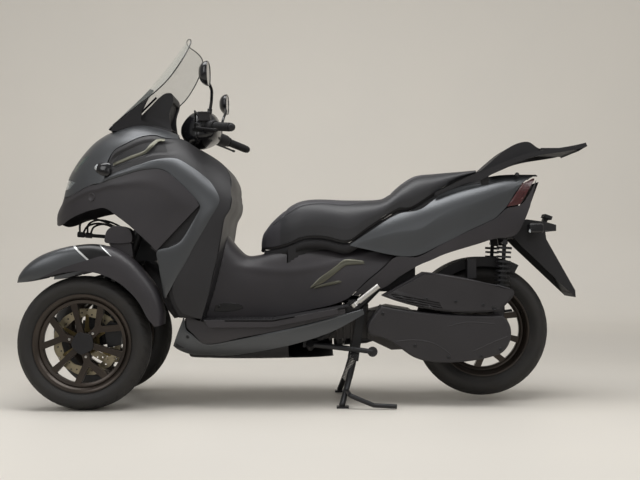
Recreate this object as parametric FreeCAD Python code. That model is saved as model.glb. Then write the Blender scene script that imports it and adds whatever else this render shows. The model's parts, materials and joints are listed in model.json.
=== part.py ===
import FreeCAD, Part
import math
import os

# Leaning three-wheel scooter on its centre stand, in millimetres.
# X runs to the rear, Y to the right, Z up; the ground is at zero.

# Wheels and their places
wheelbase = 1595.0
front_axle_x = -871.0
track = 470.0
rear_lift = 21.0
bead_r = 178.0
flange_h = 14.0
front_wall_h = 83.8
front_tyre_w = 120.0
rear_wall_h = 97.8
rear_tyre_w = 140.0
front_rim_w = 100.0
rear_rim_w = 116.0
hub_r = 37.0
front_spindle_r = 10.0
rear_spindle_r = 11.0
front_disc_r = 133.5
rear_disc_r = 133.5
disc_ring_w = 38.0
disc_t = 4.5

# Clearances
fit = 0.3
seam = 1.0
panel_seam = 0.6
seat_gap = 0.5

# Front suspension and steering
caster_deg = 20.0
trail = 68.0
kingpin_y = 112.0
kingpin_r = 12.0
kingpin_tube_r = 21.0
kingpin_low_z = 575.0
kingpin_high_z = 705.0
fork_y = 144.0
fork_tube_r = 19.0
fork_gap = 50.0
column_x = -497.0
column_z = 1040.0
column_tube_r = 24.0
column_pin_r = 13.0
arm_back = 30.5

# Frame
rail_r = 15.0
rail_y = 95.0
seat_rail_y = 130.0
floor_rail_z = 268.0
down_x = -440.5
tub_z = 456.0
tub_half_w = 100.0
engine_pivot_x = 235.0
shock_y = 124.0
shock_low_x = 786.0
shock_top_x = 800.0
shock_top_z = 656.0
shock_lug_y = 84.0
air_case_top = 510.9

# Bodywork
wall = 3.0
cowl_half_w = 290.0
floor_z = 353.0
floor_inset = 5.0
tunnel_half_w = 128.0
tail_half_w = 168.0
seat_half_w = 158.0
belly_z = 182.0
pad_lift = 14.0
seat_hinge_x = -186.0
seat_hinge_z = 624.0

# Stands
stand_pivot_x = 190.0
stand_pivot_z = 188.0
stand_half_w = 205.0
stand_ear_y = 74.0
stand_foot_x = 139.0

# Controls
bar_r = 11.0
grip_r = 16.5
grip_end_y = 350.0
mirror_y = 345.0
mirror_z = 1298.0

flange_r = bead_r + flange_h
front_tyre_r = bead_r + front_wall_h
rear_tyre_r = bead_r + rear_wall_h
floor_half_w = cowl_half_w - floor_inset
rear_axle_x = front_axle_x + wheelbase
rear_axle_z = rear_tyre_r + rear_lift
front_axle_z = front_tyre_r
caster = math.radians(caster_deg)
lean_x = math.tan(caster)


def vec(x, y, z):
    return FreeCAD.Vector(x, y, z)


def kingpin_x(z):
    return front_axle_x - trail + z * lean_x


def column_x_at(z):
    return column_x + (z - column_z) * lean_x


def fork_x(z):
    return front_axle_x + (z - front_axle_z) * lean_x


def fuse(shapes, merge=True):
    whole = shapes[0]
    if len(shapes) > 1:
        whole = whole.multiFuse(shapes[1:])
    return whole.removeSplitter() if merge else whole


def group(shapes):
    return Part.makeCompound(shapes)


def mirrored(shape):
    return shape.mirror(vec(0, 0, 0), vec(0, 1, 0))


def pair(shape):
    return group([shape, mirrored(shape)])


def cylinder(start, end, radius):
    axis = end.sub(start)
    return Part.makeCylinder(radius, axis.Length, start, axis)


def tube(start, end, outer, inner):
    return cylinder(start, end, outer).cut(cylinder(start, end, inner))


def block(x0, x1, y0, y1, z0, z1):
    return Part.makeBox(x1 - x0, y1 - y0, z1 - z0, vec(x0, y0, z0))


def rounded_block(x0, x1, y0, y1, z0, z1, radius):
    body = block(x0, x1, y0, y1, z0, z1)
    return body.makeFillet(radius, body.Edges)


def side_wire(points, y=0.0):
    corners = [vec(p[0], y, p[1]) for p in points]
    return Part.makePolygon(corners + [corners[0]])


def side_prism(points, y0, y1):
    return Part.Face(side_wire(points, y0)).extrude(vec(0, y1 - y0, 0))


def smooth_edge(points, y=0.0):
    corners = [vec(p[0], y, p[1]) for p in points]
    if len(corners) == 2:
        return Part.LineSegment(corners[0], corners[1]).toShape()
    curve = Part.BSplineCurve()
    curve.interpolate(corners)
    return curve.toShape()


# Closed outline of runs: each run is a line or a smooth curve through its points
def run_prism(runs, y0, y1):
    edges = [smooth_edge(run, y0) for run in runs]
    return Part.Face(Part.Wire(edges)).extrude(vec(0, y1 - y0, 0))


# Straight runs joined by tangent arcs, swept with a round section
def bent_tube(points, radius, bend):
    corners = [vec(*p) for p in points]
    edges = []
    start = corners[0]
    for i in range(1, len(corners) - 1):
        back = corners[i - 1].sub(corners[i]).normalize()
        ahead = corners[i + 1].sub(corners[i]).normalize()
        turn = math.pi - back.getAngle(ahead)
        if turn < 0.02:
            continue
        trim = bend * math.tan(turn / 2)
        first = corners[i].add(back * trim)
        last = corners[i].add(ahead * trim)
        inward = back.add(ahead).normalize()
        middle = corners[i].add(inward * (bend / math.cos(turn / 2) - bend))
        edges.append(Part.LineSegment(start, first).toShape())
        edges.append(Part.Arc(first, middle, last).toShape())
        start = last
    edges.append(Part.LineSegment(start, corners[-1]).toShape())
    path = Part.Wire(edges)
    tangent = corners[1].sub(corners[0])
    ring = Part.Wire(Part.makeCircle(radius, corners[0], tangent))
    return path.makePipeShell([ring], True, True)


# Value of a table of (x, value) pairs at x, by smooth cubic pieces
def table_at(table, x):
    if x <= table[0][0]:
        return table[0][1]
    if x >= table[-1][0]:
        return table[-1][1]
    i = 0
    while table[i + 1][0] < x:
        i += 1
    x0, v0 = table[i]
    x1, v1 = table[i + 1]
    slope = (v1 - v0) / (x1 - x0)
    before = slope
    after = slope
    if i > 0:
        before = (v1 - table[i - 1][1]) / (x1 - table[i - 1][0])
    if i + 2 < len(table):
        after = (table[i + 2][1] - v0) / (table[i + 2][0] - x0)
    t = (x - x0) / (x1 - x0)
    span = x1 - x0
    return ((2 * t ** 3 - 3 * t ** 2 + 1) * v0 + (t ** 3 - 2 * t ** 2 + t) * span * before
            + (3 * t ** 2 - 2 * t ** 3) * v1 + (t ** 3 - t ** 2) * span * after)


# A body form gives, at each station, its lowest, widest and highest level and its half width
cowl_form = {
    "low": [(-1050, 737), (-1044, 722), (-1030, 705), (-990, 680), (-920, 640), (-800, 600), (-700, 540),
            (-600, 400), (-500, 200), (-420, 185), (-280, 185)],
    "mid": [(-1050, 742), (-1010, 765), (-960, 795), (-870, 820), (-700, 830), (-600, 800),
            (-500, 760), (-400, 720), (-280, 700)],
    "top": [(-1050, 750), (-1046, 770), (-1040, 790), (-1010, 846), (-990, 930), (-960, 985), (-920, 1037),
            (-870, 1085), (-800, 1122), (-700, 1150), (-600, 1138), (-500, 1100), (-420, 1052),
            (-340, 1000), (-280, 960)],
    "half": [(x, share * cowl_half_w) for x, share in (
        (-1050, 5 / 290), (-1046, 26 / 290), (-1040, 46 / 290), (-1010, 88 / 290),
        (-960, 132 / 290), (-920, 158 / 290), (-870, 184 / 290), (-800, 214 / 290),
        (-700, 246 / 290), (-600, 270 / 290), (-500, 284 / 290), (-420, 1.0),
        (-340, 280 / 290), (-280, 262 / 290))],
    "full_top": 2.5,
    "full_low": 5.0,
}


def form_levels(form, x):
    return [table_at(form[name], x) for name in ("low", "mid", "top", "half")]


# Half width of a form at a station and height, a superellipse above and below its widest level
def form_width(form, x, z):
    low, mid, top, half = form_levels(form, x)
    power = form["full_top"] if z > mid else form["full_low"]
    span = top - mid if z > mid else mid - low
    ratio = min(abs(z - mid) / span, 1.0)
    return half * (1 - ratio ** power) ** (1 / power)


# Point of a form at a station: the angle is 0 at the left, 90 over the top, -90 underneath
def form_point(form, x, angle):
    low, mid, top, half = form_levels(form, x)
    c = math.cos(angle)
    s = math.sin(angle)
    power = 2 / (form["full_top"] if s > 0 else form["full_low"])
    span = top - mid if s > 0 else mid - low
    return vec(x, -half * math.copysign(abs(c) ** power, c),
               mid + span * math.copysign(abs(s) ** power, s))


def angle_at(form, x, z):
    low, mid, top, half = form_levels(form, x)
    power = form["full_top"] if z > mid else form["full_low"]
    span = top - mid if z > mid else mid - low
    ratio = min(abs(z - mid) / span, 1.0)
    return math.copysign(math.asin(ratio ** (power / 2)), z - mid)


# Points of a line, picked again at even distances along it
def even_row(points, count):
    reach = [0.0]
    for i in range(1, len(points)):
        reach.append(reach[-1] + points[i].sub(points[i - 1]).Length)
    row = []
    k = 0
    for i in range(count + 1):
        goal = reach[-1] * i / count
        while k < len(points) - 2 and reach[k + 1] < goal:
            k += 1
        share = (goal - reach[k]) / max(reach[k + 1] - reach[k], 1e-9)
        row.append(points[k].add(points[k + 1].sub(points[k]) * share))
    return row


# Rows of points moved inward along the surface's own normal
def inset_rows(rows, depth, inside):
    moved = []
    for i, row in enumerate(rows):
        before = rows[max(i - 1, 0)]
        after = rows[min(i + 1, len(rows) - 1)]
        new_row = []
        for j, point in enumerate(row):
            along = after[j].sub(before[j])
            across = row[min(j + 1, len(row) - 1)].sub(row[max(j - 1, 0)])
            normal = along.cross(across)
            normal = normal.normalize() if normal.Length > 1e-6 else vec(0, -1, 0)
            if normal.dot(inside(point).sub(point)) < 0:
                normal = normal * -1
            new_row.append(point.add(normal * depth))
        moved.append(new_row)
    return moved


def surface_of(rows):
    surface = Part.BSplineSurface()
    surface.interpolate(rows)
    return surface


# Closed solid between two grids of points that have the same shape
def grid_solid(outer_rows, inner_rows):
    outer = surface_of(outer_rows)
    inner = surface_of(inner_rows)
    u0, u1, v0, v1 = outer.bounds()
    a0, a1, b0, b1 = inner.bounds()
    faces = [outer.toShape(), inner.toShape()]
    for first, second in ((outer.uIso(u0), inner.uIso(a0)), (outer.uIso(u1), inner.uIso(a1)),
                          (outer.vIso(v0), inner.vIso(b0)), (outer.vIso(v1), inner.vIso(b1))):
        faces.append(Part.makeRuledSurface(first.toShape(), second.toShape()))
    shell = Part.makeShell(faces)
    shell.sewShape()
    solid = Part.makeSolid(shell)
    if solid.Volume < 0:
        solid.reverse()
    return solid


# Line respaced evenly along its length
def even_line(points, step=26.0):
    reach = [0.0]
    for i in range(1, len(points)):
        reach.append(reach[-1] + math.hypot(points[i][0] - points[i - 1][0],
                                            points[i][1] - points[i - 1][1]))
    tables = [[(reach[i], points[i][c]) for i in range(len(points))] for c in (0, 1)]
    count = max(int(reach[-1] / step), 3)
    return [(table_at(tables[0], reach[-1] * i / count), table_at(tables[1], reach[-1] * i / count))
            for i in range(count + 1)]


# Ribs respaced evenly along the panel, so that the surface through them doesn't swing
def even_ribs(ribs, step=26.0):
    reach = [0.0]
    for i in range(1, len(ribs)):
        ends = [math.hypot(ribs[i][k][0] - ribs[i - 1][k][0], ribs[i][k][1] - ribs[i - 1][k][1])
                for k in (0, 1)]
        reach.append(reach[-1] + max(ends[0], ends[1], 1.0))
    count = max(int(reach[-1] / step), 3)
    tables = [[(reach[i], ribs[i][k][c]) for i in range(len(ribs))]
              for k in (0, 1) for c in (0, 1)]
    spaced = []
    for i in range(count + 1):
        values = [table_at(table, reach[-1] * i / count) for table in tables]
        spaced.append(((values[0], values[1]), (values[2], values[3])))
    return spaced


def side_rows(form, ribs, across=6):
    rows = []
    for low, high in even_ribs(ribs):
        fine = []
        for j in range(61):
            x = low[0] + (high[0] - low[0]) * j / 60
            z = low[1] + (high[1] - low[1]) * j / 60
            fine.append(vec(x, -form_width(form, x, z), z))
        rows.append(even_row(fine, across))
    return rows


# Moulded panel on the left of a form, from ribs that run from its lower to its upper edge
def side_panel(form, ribs, thickness, lift=0.0, across=6):
    rows = side_rows(form, ribs, across)

    def inside(point):
        return vec(point.x + 120, 0, table_at(form["mid"], point.x))

    outer = inset_rows(rows, -lift, inside) if lift else rows
    inner = inset_rows(rows, thickness - lift, inside)
    return grid_solid(outer, inner)


# Moulded panel across a form, over its top or under its bottom
def wrap_panel(form, edge, thickness, over=True, across=16, lift=0.0):
    rows = []
    for x, z in even_line(edge):
        start = angle_at(form, x, z)
        stop = math.pi - start if over else -math.pi - start
        fine = [form_point(form, x, start + (stop - start) * j / 240) for j in range(241)]
        rows.append(even_row(fine, across))

    def inside(point):
        return vec(point.x + 120, 0, table_at(form["mid"], point.x))

    outer = inset_rows(rows, -lift, inside) if lift else rows
    return grid_solid(outer, inset_rows(rows, thickness - lift, inside))


def loop_wire(points):
    curve = Part.BSplineCurve()
    curve.interpolate(points, True)
    return Part.Wire(curve.toShape())


# Closed superellipse across the model, for lofts
def section_wire(x, low, mid, top, half, full_top, full_low, y=0.0):
    points = []
    count = 16
    for i in range(count):
        a = 2 * math.pi * i / count
        c = math.cos(a)
        s = math.sin(a)
        power = 2 / full_top if s > 0 else 2 / full_low
        height = top - mid if s > 0 else mid - low
        points.append(vec(x, y + half * math.copysign(abs(c) ** power, c),
                          mid + height * math.copysign(abs(s) ** power, s)))
    return loop_wire(points)


def revolve_about_axle(profile, axle):
    corners = [vec(axle.x + r, axle.y + y, axle.z) for r, y in profile]
    face = Part.Face(Part.makePolygon(corners + [corners[0]]))
    return face.revolve(axle, vec(0, 1, 0), 360)


def tyre(axle, radius, width, rim_w):
    half = width / 2
    bead = bead_r + fit
    seat = rim_w / 2 - 7.6
    side = [(bead, seat), (flange_r + 1, seat), (bead + (radius - bead) * 0.45, half),
            (bead + (radius - bead) * 0.80, half * 0.80), (radius - 3.0, half * 0.42),
            (radius, half * 0.16)]
    profile = [(r, -y) for r, y in side] + [(r, y) for r, y in reversed(side)]
    return revolve_about_axle(profile, axle)


# One spoke in the wheel's plane, from the hub to the barrel, at an angle in the side view
def spoke(axle, angle, r0, r1, w0, w1, y0, y1, aim=None):
    end = angle if aim is None else aim
    a = math.radians(angle)
    b = math.radians(end)
    start = vec(r0 * math.cos(a), 0, r0 * math.sin(a))
    stop = vec(r1 * math.cos(b), 0, r1 * math.sin(b))
    along = stop.sub(start).normalize()
    across = vec(-along.z, 0, along.x)
    corners = [start.add(across * (w0 / 2)), stop.add(across * (w1 / 2)),
               stop.sub(across * (w1 / 2)), start.sub(across * (w0 / 2))]
    corners = [c.add(vec(axle.x, axle.y + y0, axle.z)) for c in corners]
    face = Part.Face(Part.makePolygon(corners + [corners[0]]))
    return face.extrude(vec(0, y1 - y0, 0))


def rim(axle, rim_w, hub_reach, spindle_r, out):
    half = rim_w / 2
    barrel = revolve_about_axle([
        (flange_r, -half), (flange_r, -half + 4), (bead_r, -half + 7), (bead_r, half - 7),
        (flange_r, half - 4), (flange_r, half), (flange_r - 9, half), (bead_r - 8, half - 12),
        (bead_r - 12, 0), (bead_r - 8, -half + 12), (flange_r - 9, -half)], axle)
    y0 = out * 34 if out < 0 else out * 10
    y1 = y0 + 22
    hub_low = vec(axle.x, axle.y - 36, axle.z)
    hub_high = vec(axle.x, axle.y + hub_reach, axle.z)
    hub = cylinder(hub_low, hub_high, hub_r)
    pieces = [barrel, hub]
    for base in (46, 166, 286):
        for side in (-1, 1):
            pieces.append(spoke(axle, base, 30, bead_r - 4, 22, 13, y0, y1, base + side * 19))
        pieces.append(spoke(axle, base + 60, 20, bead_r - 4, 20, 13, y0, y1))
    body = fuse(pieces)
    bore = cylinder(vec(axle.x, axle.y - 90, axle.z), vec(axle.x, axle.y + 90, axle.z),
                    spindle_r + fit)
    return body.cut(bore)


def brake_disc(axle, y, radius):
    ring = tube(vec(axle.x, y, axle.z), vec(axle.x, y + disc_t, axle.z), radius,
                radius - disc_ring_w)
    arms = [spoke(axle, 15 + 60 * i, hub_r + 6, radius - disc_ring_w + 3, 18, 16,
                  y - axle.y, y - axle.y + disc_t) for i in range(6)]
    centre = tube(vec(axle.x, y, axle.z), vec(axle.x, y + disc_t, axle.z), hub_r + 12,
                  hub_r + fit)
    return fuse([ring, centre] + arms)


def front_axle(side):
    return vec(front_axle_x, side * track / 2, front_axle_z)


def rear_axle():
    return vec(rear_axle_x, 0, rear_axle_z)


# Telescopic fork on the inner side of its wheel: two tubes, their yoke, the steering pin, spindle
def fork(side):
    y = side * fork_y
    top_z = kingpin_high_z + 22
    foot_z = front_axle_z + 55
    axle = front_axle(side)
    yoke_z = kingpin_low_z - 22
    pieces = []
    for shift in (-fork_gap / 2, fork_gap / 2):
        low = vec(fork_x(foot_z) + shift, y, foot_z)
        middle_z = kingpin_low_z - 150
        middle = vec(fork_x(middle_z) + shift, y, middle_z)
        high = vec(fork_x(yoke_z) + shift, y, yoke_z)
        pieces.append(cylinder(middle, high, fork_tube_r - 3))
        pieces.append(cylinder(low, middle, fork_tube_r))
    pieces.append(fork_yoke(side, kingpin_low_z - 34, kingpin_low_z - 8))
    pieces.append(cylinder(vec(kingpin_x(kingpin_low_z - 26), side * kingpin_y, kingpin_low_z - 26),
                           vec(kingpin_x(top_z), side * kingpin_y, top_z), kingpin_r))
    cap_x = kingpin_x(top_z - 6)
    pieces.append(cylinder(vec(kingpin_x(top_z - 12), side * kingpin_y, top_z - 12),
                           vec(kingpin_x(top_z), side * kingpin_y, top_z), kingpin_tube_r - 3))
    pieces.append(block(cap_x, cap_x + 62, side * kingpin_y - 8, side * kingpin_y + 8,
                        top_z - 12, top_z - 2))
    inner = min(side * (fork_y - 20), side * (fork_y + 20))
    outer = max(side * (fork_y - 20), side * (fork_y + 20))
    shoe = side_prism([(axle.x - 38, axle.z - 34), (axle.x + 38, axle.z - 34),
                       (fork_x(foot_z) + 52, foot_z + 26), (fork_x(foot_z) - 48, foot_z + 26)],
                      inner, outer)
    pieces.append(shoe)
    pieces.append(cylinder(vec(axle.x, y, axle.z),
                           vec(axle.x, side * (track / 2 + 36), axle.z), front_spindle_r))
    pieces.append(caliper_arm(side))
    return fuse(pieces)


def fork_yoke(side, z0, z1):
    middle_z = (z0 + z1) / 2
    x0 = fork_x(middle_z) - fork_gap / 2 - fork_tube_r - 3
    x1 = kingpin_x(middle_z) + kingpin_tube_r
    y0 = min(side * (kingpin_y - 18), side * (fork_y + 18))
    y1 = max(side * (kingpin_y - 18), side * (fork_y + 18))
    return rounded_block(x0, x1, y0, y1, z0, z1, 6)


# Brake caliper behind the disc, on an arm from the fork shoe
def caliper_arm(side):
    axle = front_axle(side)
    disc_y = front_disc_y(side)
    face = side * (fork_y + 18)
    reach = disc_y + side * (disc_t + 14)
    y0 = min(face, reach)
    y1 = max(face, reach)
    outline = [(axle.x + 86, axle.z - 22), (axle.x + 140, axle.z - 10), (axle.x + 142, axle.z + 62),
               (axle.x + 96, axle.z + 84), (axle.x + 72, axle.z + 60)]
    body = side_prism(outline, y0, y1)
    slot0 = min(disc_y - side * (disc_t + 2.0), disc_y + side * 2.0)
    slot1 = max(disc_y - side * (disc_t + 2.0), disc_y + side * 2.0)
    slot = cylinder(vec(axle.x, slot0, axle.z), vec(axle.x, slot1, axle.z), front_disc_r + 3)
    arm_y = side * (fork_y + 4)
    arm = side_prism([(axle.x + 10, axle.z - 26), (axle.x + 120, axle.z - 4),
                      (axle.x + 130, axle.z + 56), (axle.x + 30, axle.z + 74)],
                     min(arm_y, face), max(arm_y, face + side * 2))
    return fuse([body.cut(slot), arm])


def front_disc_y(side):
    return side * (track / 2 - 22 - disc_t)


# Side bracket of the lean mechanism: the tube round the kingpin, with two arm eyes
def side_bracket(side):
    y = side * kingpin_y
    low = vec(kingpin_x(kingpin_low_z), y, kingpin_low_z)
    high = vec(kingpin_x(kingpin_high_z), y, kingpin_high_z)
    body = cylinder(low, high, kingpin_tube_r)
    eyes = []
    for z in (kingpin_low_z + 26, kingpin_high_z - 26):
        x = kingpin_x(z)
        eyes.append(cylinder(vec(x - 60, y, z), vec(x, y, z), 8))
    body = fuse([body] + eyes)
    bore = cylinder(low.sub(vec(20, 0, 55)), high.add(vec(20, 0, 55)), kingpin_r + fit)
    reach = 60
    low_out = vec(kingpin_x(kingpin_low_z - reach), y, kingpin_low_z - reach)
    high_out = vec(kingpin_x(kingpin_high_z + reach), y, kingpin_high_z + reach)
    bore = cylinder(low_out, high_out, kingpin_r + fit)
    return body.cut(bore)


# One transverse arm of the lean mechanism, with a boss at the middle and one at each end
def lean_arm(z):
    x = kingpin_x(z)
    x0 = x - 56
    x1 = x - arm_back
    bosses = [cylinder(vec(x0, y, z), vec(x1, y, z), 15) for y in (-kingpin_y, 0, kingpin_y)]
    web = block(x0 + 4, x1 - 4, -kingpin_y, kingpin_y, z - 13, z + 13)
    body = fuse(bosses + [web])
    holes = [cylinder(vec(x0 - 5, y, z), vec(x1 + 5, y, z), 8 + fit)
             for y in (-kingpin_y, 0, kingpin_y)]
    for hole in holes:
        body = body.cut(hole)
    return body


# Frame: head box with the two centre pins, column tube, down tubes, floor rails, seat rails
def main_frame():
    pieces = []
    pin_zs = (kingpin_low_z + 26, kingpin_high_z - 26)
    spine_x = kingpin_x(kingpin_high_z) + 6
    for z in pin_zs:
        x = kingpin_x(z)
        pieces.append(cylinder(vec(x - 60, 0, z), vec(spine_x + 10, 0, z), 8))
    low_face = kingpin_x(pin_zs[0]) - arm_back + fit
    high_face = kingpin_x(pin_zs[1]) - arm_back + fit
    pieces.append(side_prism([(low_face, pin_zs[0] - 20), (spine_x + 50, pin_zs[0] - 20),
                              (column_x_at(900) - 20, 900), (column_x_at(940) - 40, 960),
                              (high_face + 20, 800), (high_face, pin_zs[1] + 20),
                              (high_face, pin_zs[1] - 24), (low_face, pin_zs[0] + 24)], -34, 34))
    low = vec(column_x_at(900), 0, 900)
    high = vec(column_x_at(1010), 0, 1010)
    column = cylinder(low, high, column_tube_r)
    tails = []
    for side in (-1, 1):
        tails.append(bent_tube([(spine_x + 40, side * 20, 700), (down_x, side * 75, 540),
                                (down_x, side * rail_y, 302), (-392, side * rail_y, floor_rail_z),
                                (60, side * rail_y, floor_rail_z),
                                (engine_pivot_x, side * 126, 420),
                                (430, side * seat_rail_y, 620),
                                (700, side * 100, 800), (900, side * 76, 872)], rail_r, 40))
        tails.append(bent_tube([(down_x, side * 60, 520), (-330, side * 50, tub_z - 13 - fit),
                                (40, side * 60, tub_z - 13 - fit), (228, side * 120, 414)],
                               rail_r - 2, 40))
        lug = [(756, 820), (836, 846), (shock_top_x + 16, shock_top_z - 13),
               (shock_top_x - 16, shock_top_z - 13)]
        tails.append(side_prism(lug, min(side * 76, side * shock_lug_y),
                                max(side * 76, side * shock_lug_y)))
    cross = [cylinder(vec(x, -half, z), vec(x, half, z), 12)
             for x, z, half in ((-300, floor_rail_z, rail_y), (0, floor_rail_z, rail_y),
                                (228, 416.3, 122), (480, 653, 126), (700, 800, 100))]
    for side in (-1, 1):
        for x, top in ((-300, floor_z - 6), (0, floor_z + 16.5)):
            cross.append(block(x - 10, x + 10, min(side * 86, side * 132),
                               max(side * 86, side * 132), floor_rail_z - 8, top - fit))
    neck = cylinder(vec(down_x, -78, 520), vec(down_x, 78, 520), 12)
    body = fuse(pieces + [column] + tails + cross + [neck] + [stand_bracket()])
    bore = cylinder(vec(column_x_at(840), 0, 840), vec(column_x_at(1080), 0, 1080),
                    column_pin_r + fit)
    pocket = bore.common(block(-900, 0, -60, 60, 870, 1100))
    return body.cut(pocket)


def stand_bracket():
    ears = []
    for side in (-1, 1):
        y0 = side * stand_ear_y
        y1 = side * (stand_ear_y + 10)
        ears.append(side_prism([(stand_pivot_x - 20, stand_pivot_z - 18),
                                (stand_pivot_x + 18, stand_pivot_z - 18), (242, 410), (214, 424)],
                               min(y0, y1), max(y0, y1)))
    reach = stand_ear_y + 42
    return fuse(ears + [cylinder(vec(stand_pivot_x, -reach, stand_pivot_z),
                                 vec(stand_pivot_x, reach, stand_pivot_z), 10)])


# Place along the swinging power unit: 0 at its pivot on the frame, 1 at the rear axle
def unit_x(share):
    return engine_pivot_x + share * (rear_axle_x - engine_pivot_x)


# Power unit, a closed block with its cylinder pointing forward
def engine_block():
    case = side_prism([(unit_x(0.02), 264), (unit_x(0.22), 218), (unit_x(0.395), 222),
                       (unit_x(0.395), 380), (unit_x(0.20), 396), (unit_x(0.02), 372)],
                      -98 + fit, 93 - fit)
    barrel = side_prism([(unit_x(-0.33), 262), (unit_x(0.05), 262), (unit_x(0.05), 378),
                         (unit_x(-0.33), 366)], -66, 66)
    fins = [side_prism([(unit_x(-0.30 + 0.06 * i), 254), (unit_x(-0.28 + 0.06 * i), 254),
                        (unit_x(-0.28 + 0.06 * i), 386), (unit_x(-0.30 + 0.06 * i), 386)],
                       -72, 72) for i in range(5)]
    body = fuse([case, barrel] + fins)
    mount = block(unit_x(-0.06), unit_x(0.03), -70, 70, 370, 404)
    return fuse([body, mount])


# Belt drive case on the left, carrying the rear wheel's left side
def transmission_case():
    runs = [[(unit_x(0.12), 404), (unit_x(0.04), 350), (unit_x(0.01), 306), (unit_x(0.05), 282)],
            [(unit_x(0.05), 282), (unit_x(0.28), 234), (unit_x(0.36), 206), (unit_x(0.64), 178),
             (unit_x(0.80), 182), (unit_x(0.94), 192), (unit_x(1.09), 214)],
            [(unit_x(1.09), 214), (unit_x(1.165), 262), (unit_x(1.17), 318), (unit_x(1.10), 366)],
            [(unit_x(1.10), 366), (unit_x(0.60), 372), (unit_x(0.12), 404)]]
    body = run_prism(runs, -206, -98)
    face = [e for e in body.Edges if e.CenterOfMass.y < -205]
    body = body.makeFillet(10, face)
    lug = side_prism([(shock_low_x - 34, 350), (shock_low_x + 14, 330), (shock_low_x + 16, 428),
                      (shock_low_x - 14, 436)], -shock_y + 16 + fit, -98)
    return fuse([body, lug])


# Right arm of the power unit, carrying the axle's right end and the exhaust
def swing_arm():
    body = side_prism([(unit_x(0.30), 300), (unit_x(0.60), 262), (unit_x(1.00), rear_axle_z - 30),
                       (unit_x(1.07), rear_axle_z), (unit_x(1.0), rear_axle_z + 34),
                       (unit_x(0.94), 392), (unit_x(0.60), 350), (unit_x(0.30), 372)], 93, 118)
    axle = cylinder(vec(rear_axle_x, -97, rear_axle_z), vec(rear_axle_x, 130, rear_axle_z),
                    rear_spindle_r)
    lug = side_prism([(700, 372), (752, 322), (shock_low_x + 14, 400), (shock_low_x + 14, 432),
                      (shock_low_x - 16, 436)], 93, shock_y - 16 - fit)
    return fuse([body, axle, brake_block(), lug])


def brake_block():
    x = rear_axle_x
    z = rear_axle_z
    outline = [(x - 150, z + 10), (x - 92, z + 30), (x - 66, z + 100), (x - 120, z + 118),
               (x - 152, z + 70)]
    body = side_prism(outline, 66, 96)
    slot = cylinder(vec(x, rear_disc_y() - 2.5, z), vec(x, rear_disc_y() + disc_t + 2.5, z),
                    rear_disc_r + 3)
    return body.cut(slot)


def rear_disc_y():
    return 76.0


# Twin rear springs with their dampers, from the power unit up to the seat rails
def rear_shocks():
    shocks = []
    for side in (-1, 1):
        y = side * shock_y
        top = vec(shock_top_x, y, shock_top_z)
        low = vec(shock_low_x, y, 420)
        axis = top.sub(low).normalize()
        body = cylinder(low, low.add(axis * 120), 15)
        rod = cylinder(low.add(axis * 120), top, 8)
        turns = [cylinder(low.add(axis * (60 + 19 * i)), low.add(axis * (68 + 19 * i)), 29)
                 for i in range(8)]
        plates = [cylinder(low.add(axis * 48), low.add(axis * 56), 31),
                  cylinder(low.add(axis * 210), low.add(axis * 219), 31)]
        inner = side * (shock_lug_y + fit)
        eyes = [cylinder(vec(shock_top_x, inner, shock_top_z), vec(shock_top_x, y + side * 14,
                                                                   shock_top_z), 11),
                cylinder(vec(shock_low_x, y - 16, 420), vec(shock_low_x, y + 16, 420), 17)]
        shocks.append(fuse([body, rod] + turns + plates + eyes))
    return group(shocks)


# Inner mudguard close over the rear tyre, carried by the power unit
def rear_hugger():
    half = rear_tyre_w / 2 + 16
    outer = Part.makeCylinder(rear_tyre_r + 26, 2 * half, vec(rear_axle_x, -half, rear_axle_z),
                              vec(0, 1, 0))
    inner = Part.makeCylinder(rear_tyre_r + 22, 2 * half - 8,
                              vec(rear_axle_x, -half + 4, rear_axle_z), vec(0, 1, 0))
    shell = outer.cut(inner)
    hole = Part.makeCylinder(rear_tyre_r - 14, 2 * half + 2,
                             vec(rear_axle_x, -half - 1, rear_axle_z), vec(0, 1, 0))
    shell = shell.cut(hole)
    reach = 700
    wedge = [(rear_axle_x, rear_axle_z),
             (rear_axle_x - reach * math.cos(math.radians(22)),
              rear_axle_z + reach * math.sin(math.radians(22))),
             (rear_axle_x, rear_axle_z + reach),
             (rear_axle_x + reach * math.cos(math.radians(62)),
              rear_axle_z + reach * math.sin(math.radians(62)))]
    shell = shell.common(side_prism(wedge, -half - 1, half + 1))
    arch_z = rear_axle_z + math.sqrt((rear_tyre_r + 24) ** 2 - (666 - rear_axle_x) ** 2)
    foot = block(648, 684, -132, -half + 1, min(air_case_top, arch_z - 8), max(arch_z, air_case_top + 20))
    return fuse([shell, foot])


# Air cleaner case above the belt case, with four intake louvres
def air_cleaner():
    runs = [[(unit_x(0.13), 442), (unit_x(0.27), 482), (unit_x(0.47), 537)],
            [(unit_x(0.47), 537), (unit_x(0.60), 531), (unit_x(0.73), 522), (unit_x(1.06), 484),
             (unit_x(1.18), 470)],
            [(unit_x(1.18), 470), (unit_x(1.20), 458), (unit_x(1.19), 440), (unit_x(1.10), 384)],
            [(unit_x(1.10), 384), (unit_x(0.60), 384), (unit_x(0.13), 442)]]
    body = run_prism(runs, -200, -112)
    body = body.cut(block(738, 850, -164, -100, 360, 600))
    centre_x = unit_x(0.66)
    runs = [[(centre_x + (x - centre_x) * 0.95, 452 + (z - 452) * 0.9) for x, z in run]
            for run in runs]
    face = run_prism(runs, -214, -199)
    body = fuse([body, face])
    for i in range(4):
        z = 452 - i * 10
        x = unit_x(0.20) + i * 6
        body = body.cut(side_prism([(x, z), (x + 190, z - 34), (x + 190, z - 39), (x, z - 5)],
                                   -220, -206))
    seat = block(unit_x(0.62), unit_x(0.70), -150, -120, 371.6, 392)
    return fuse([body, seat])


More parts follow.
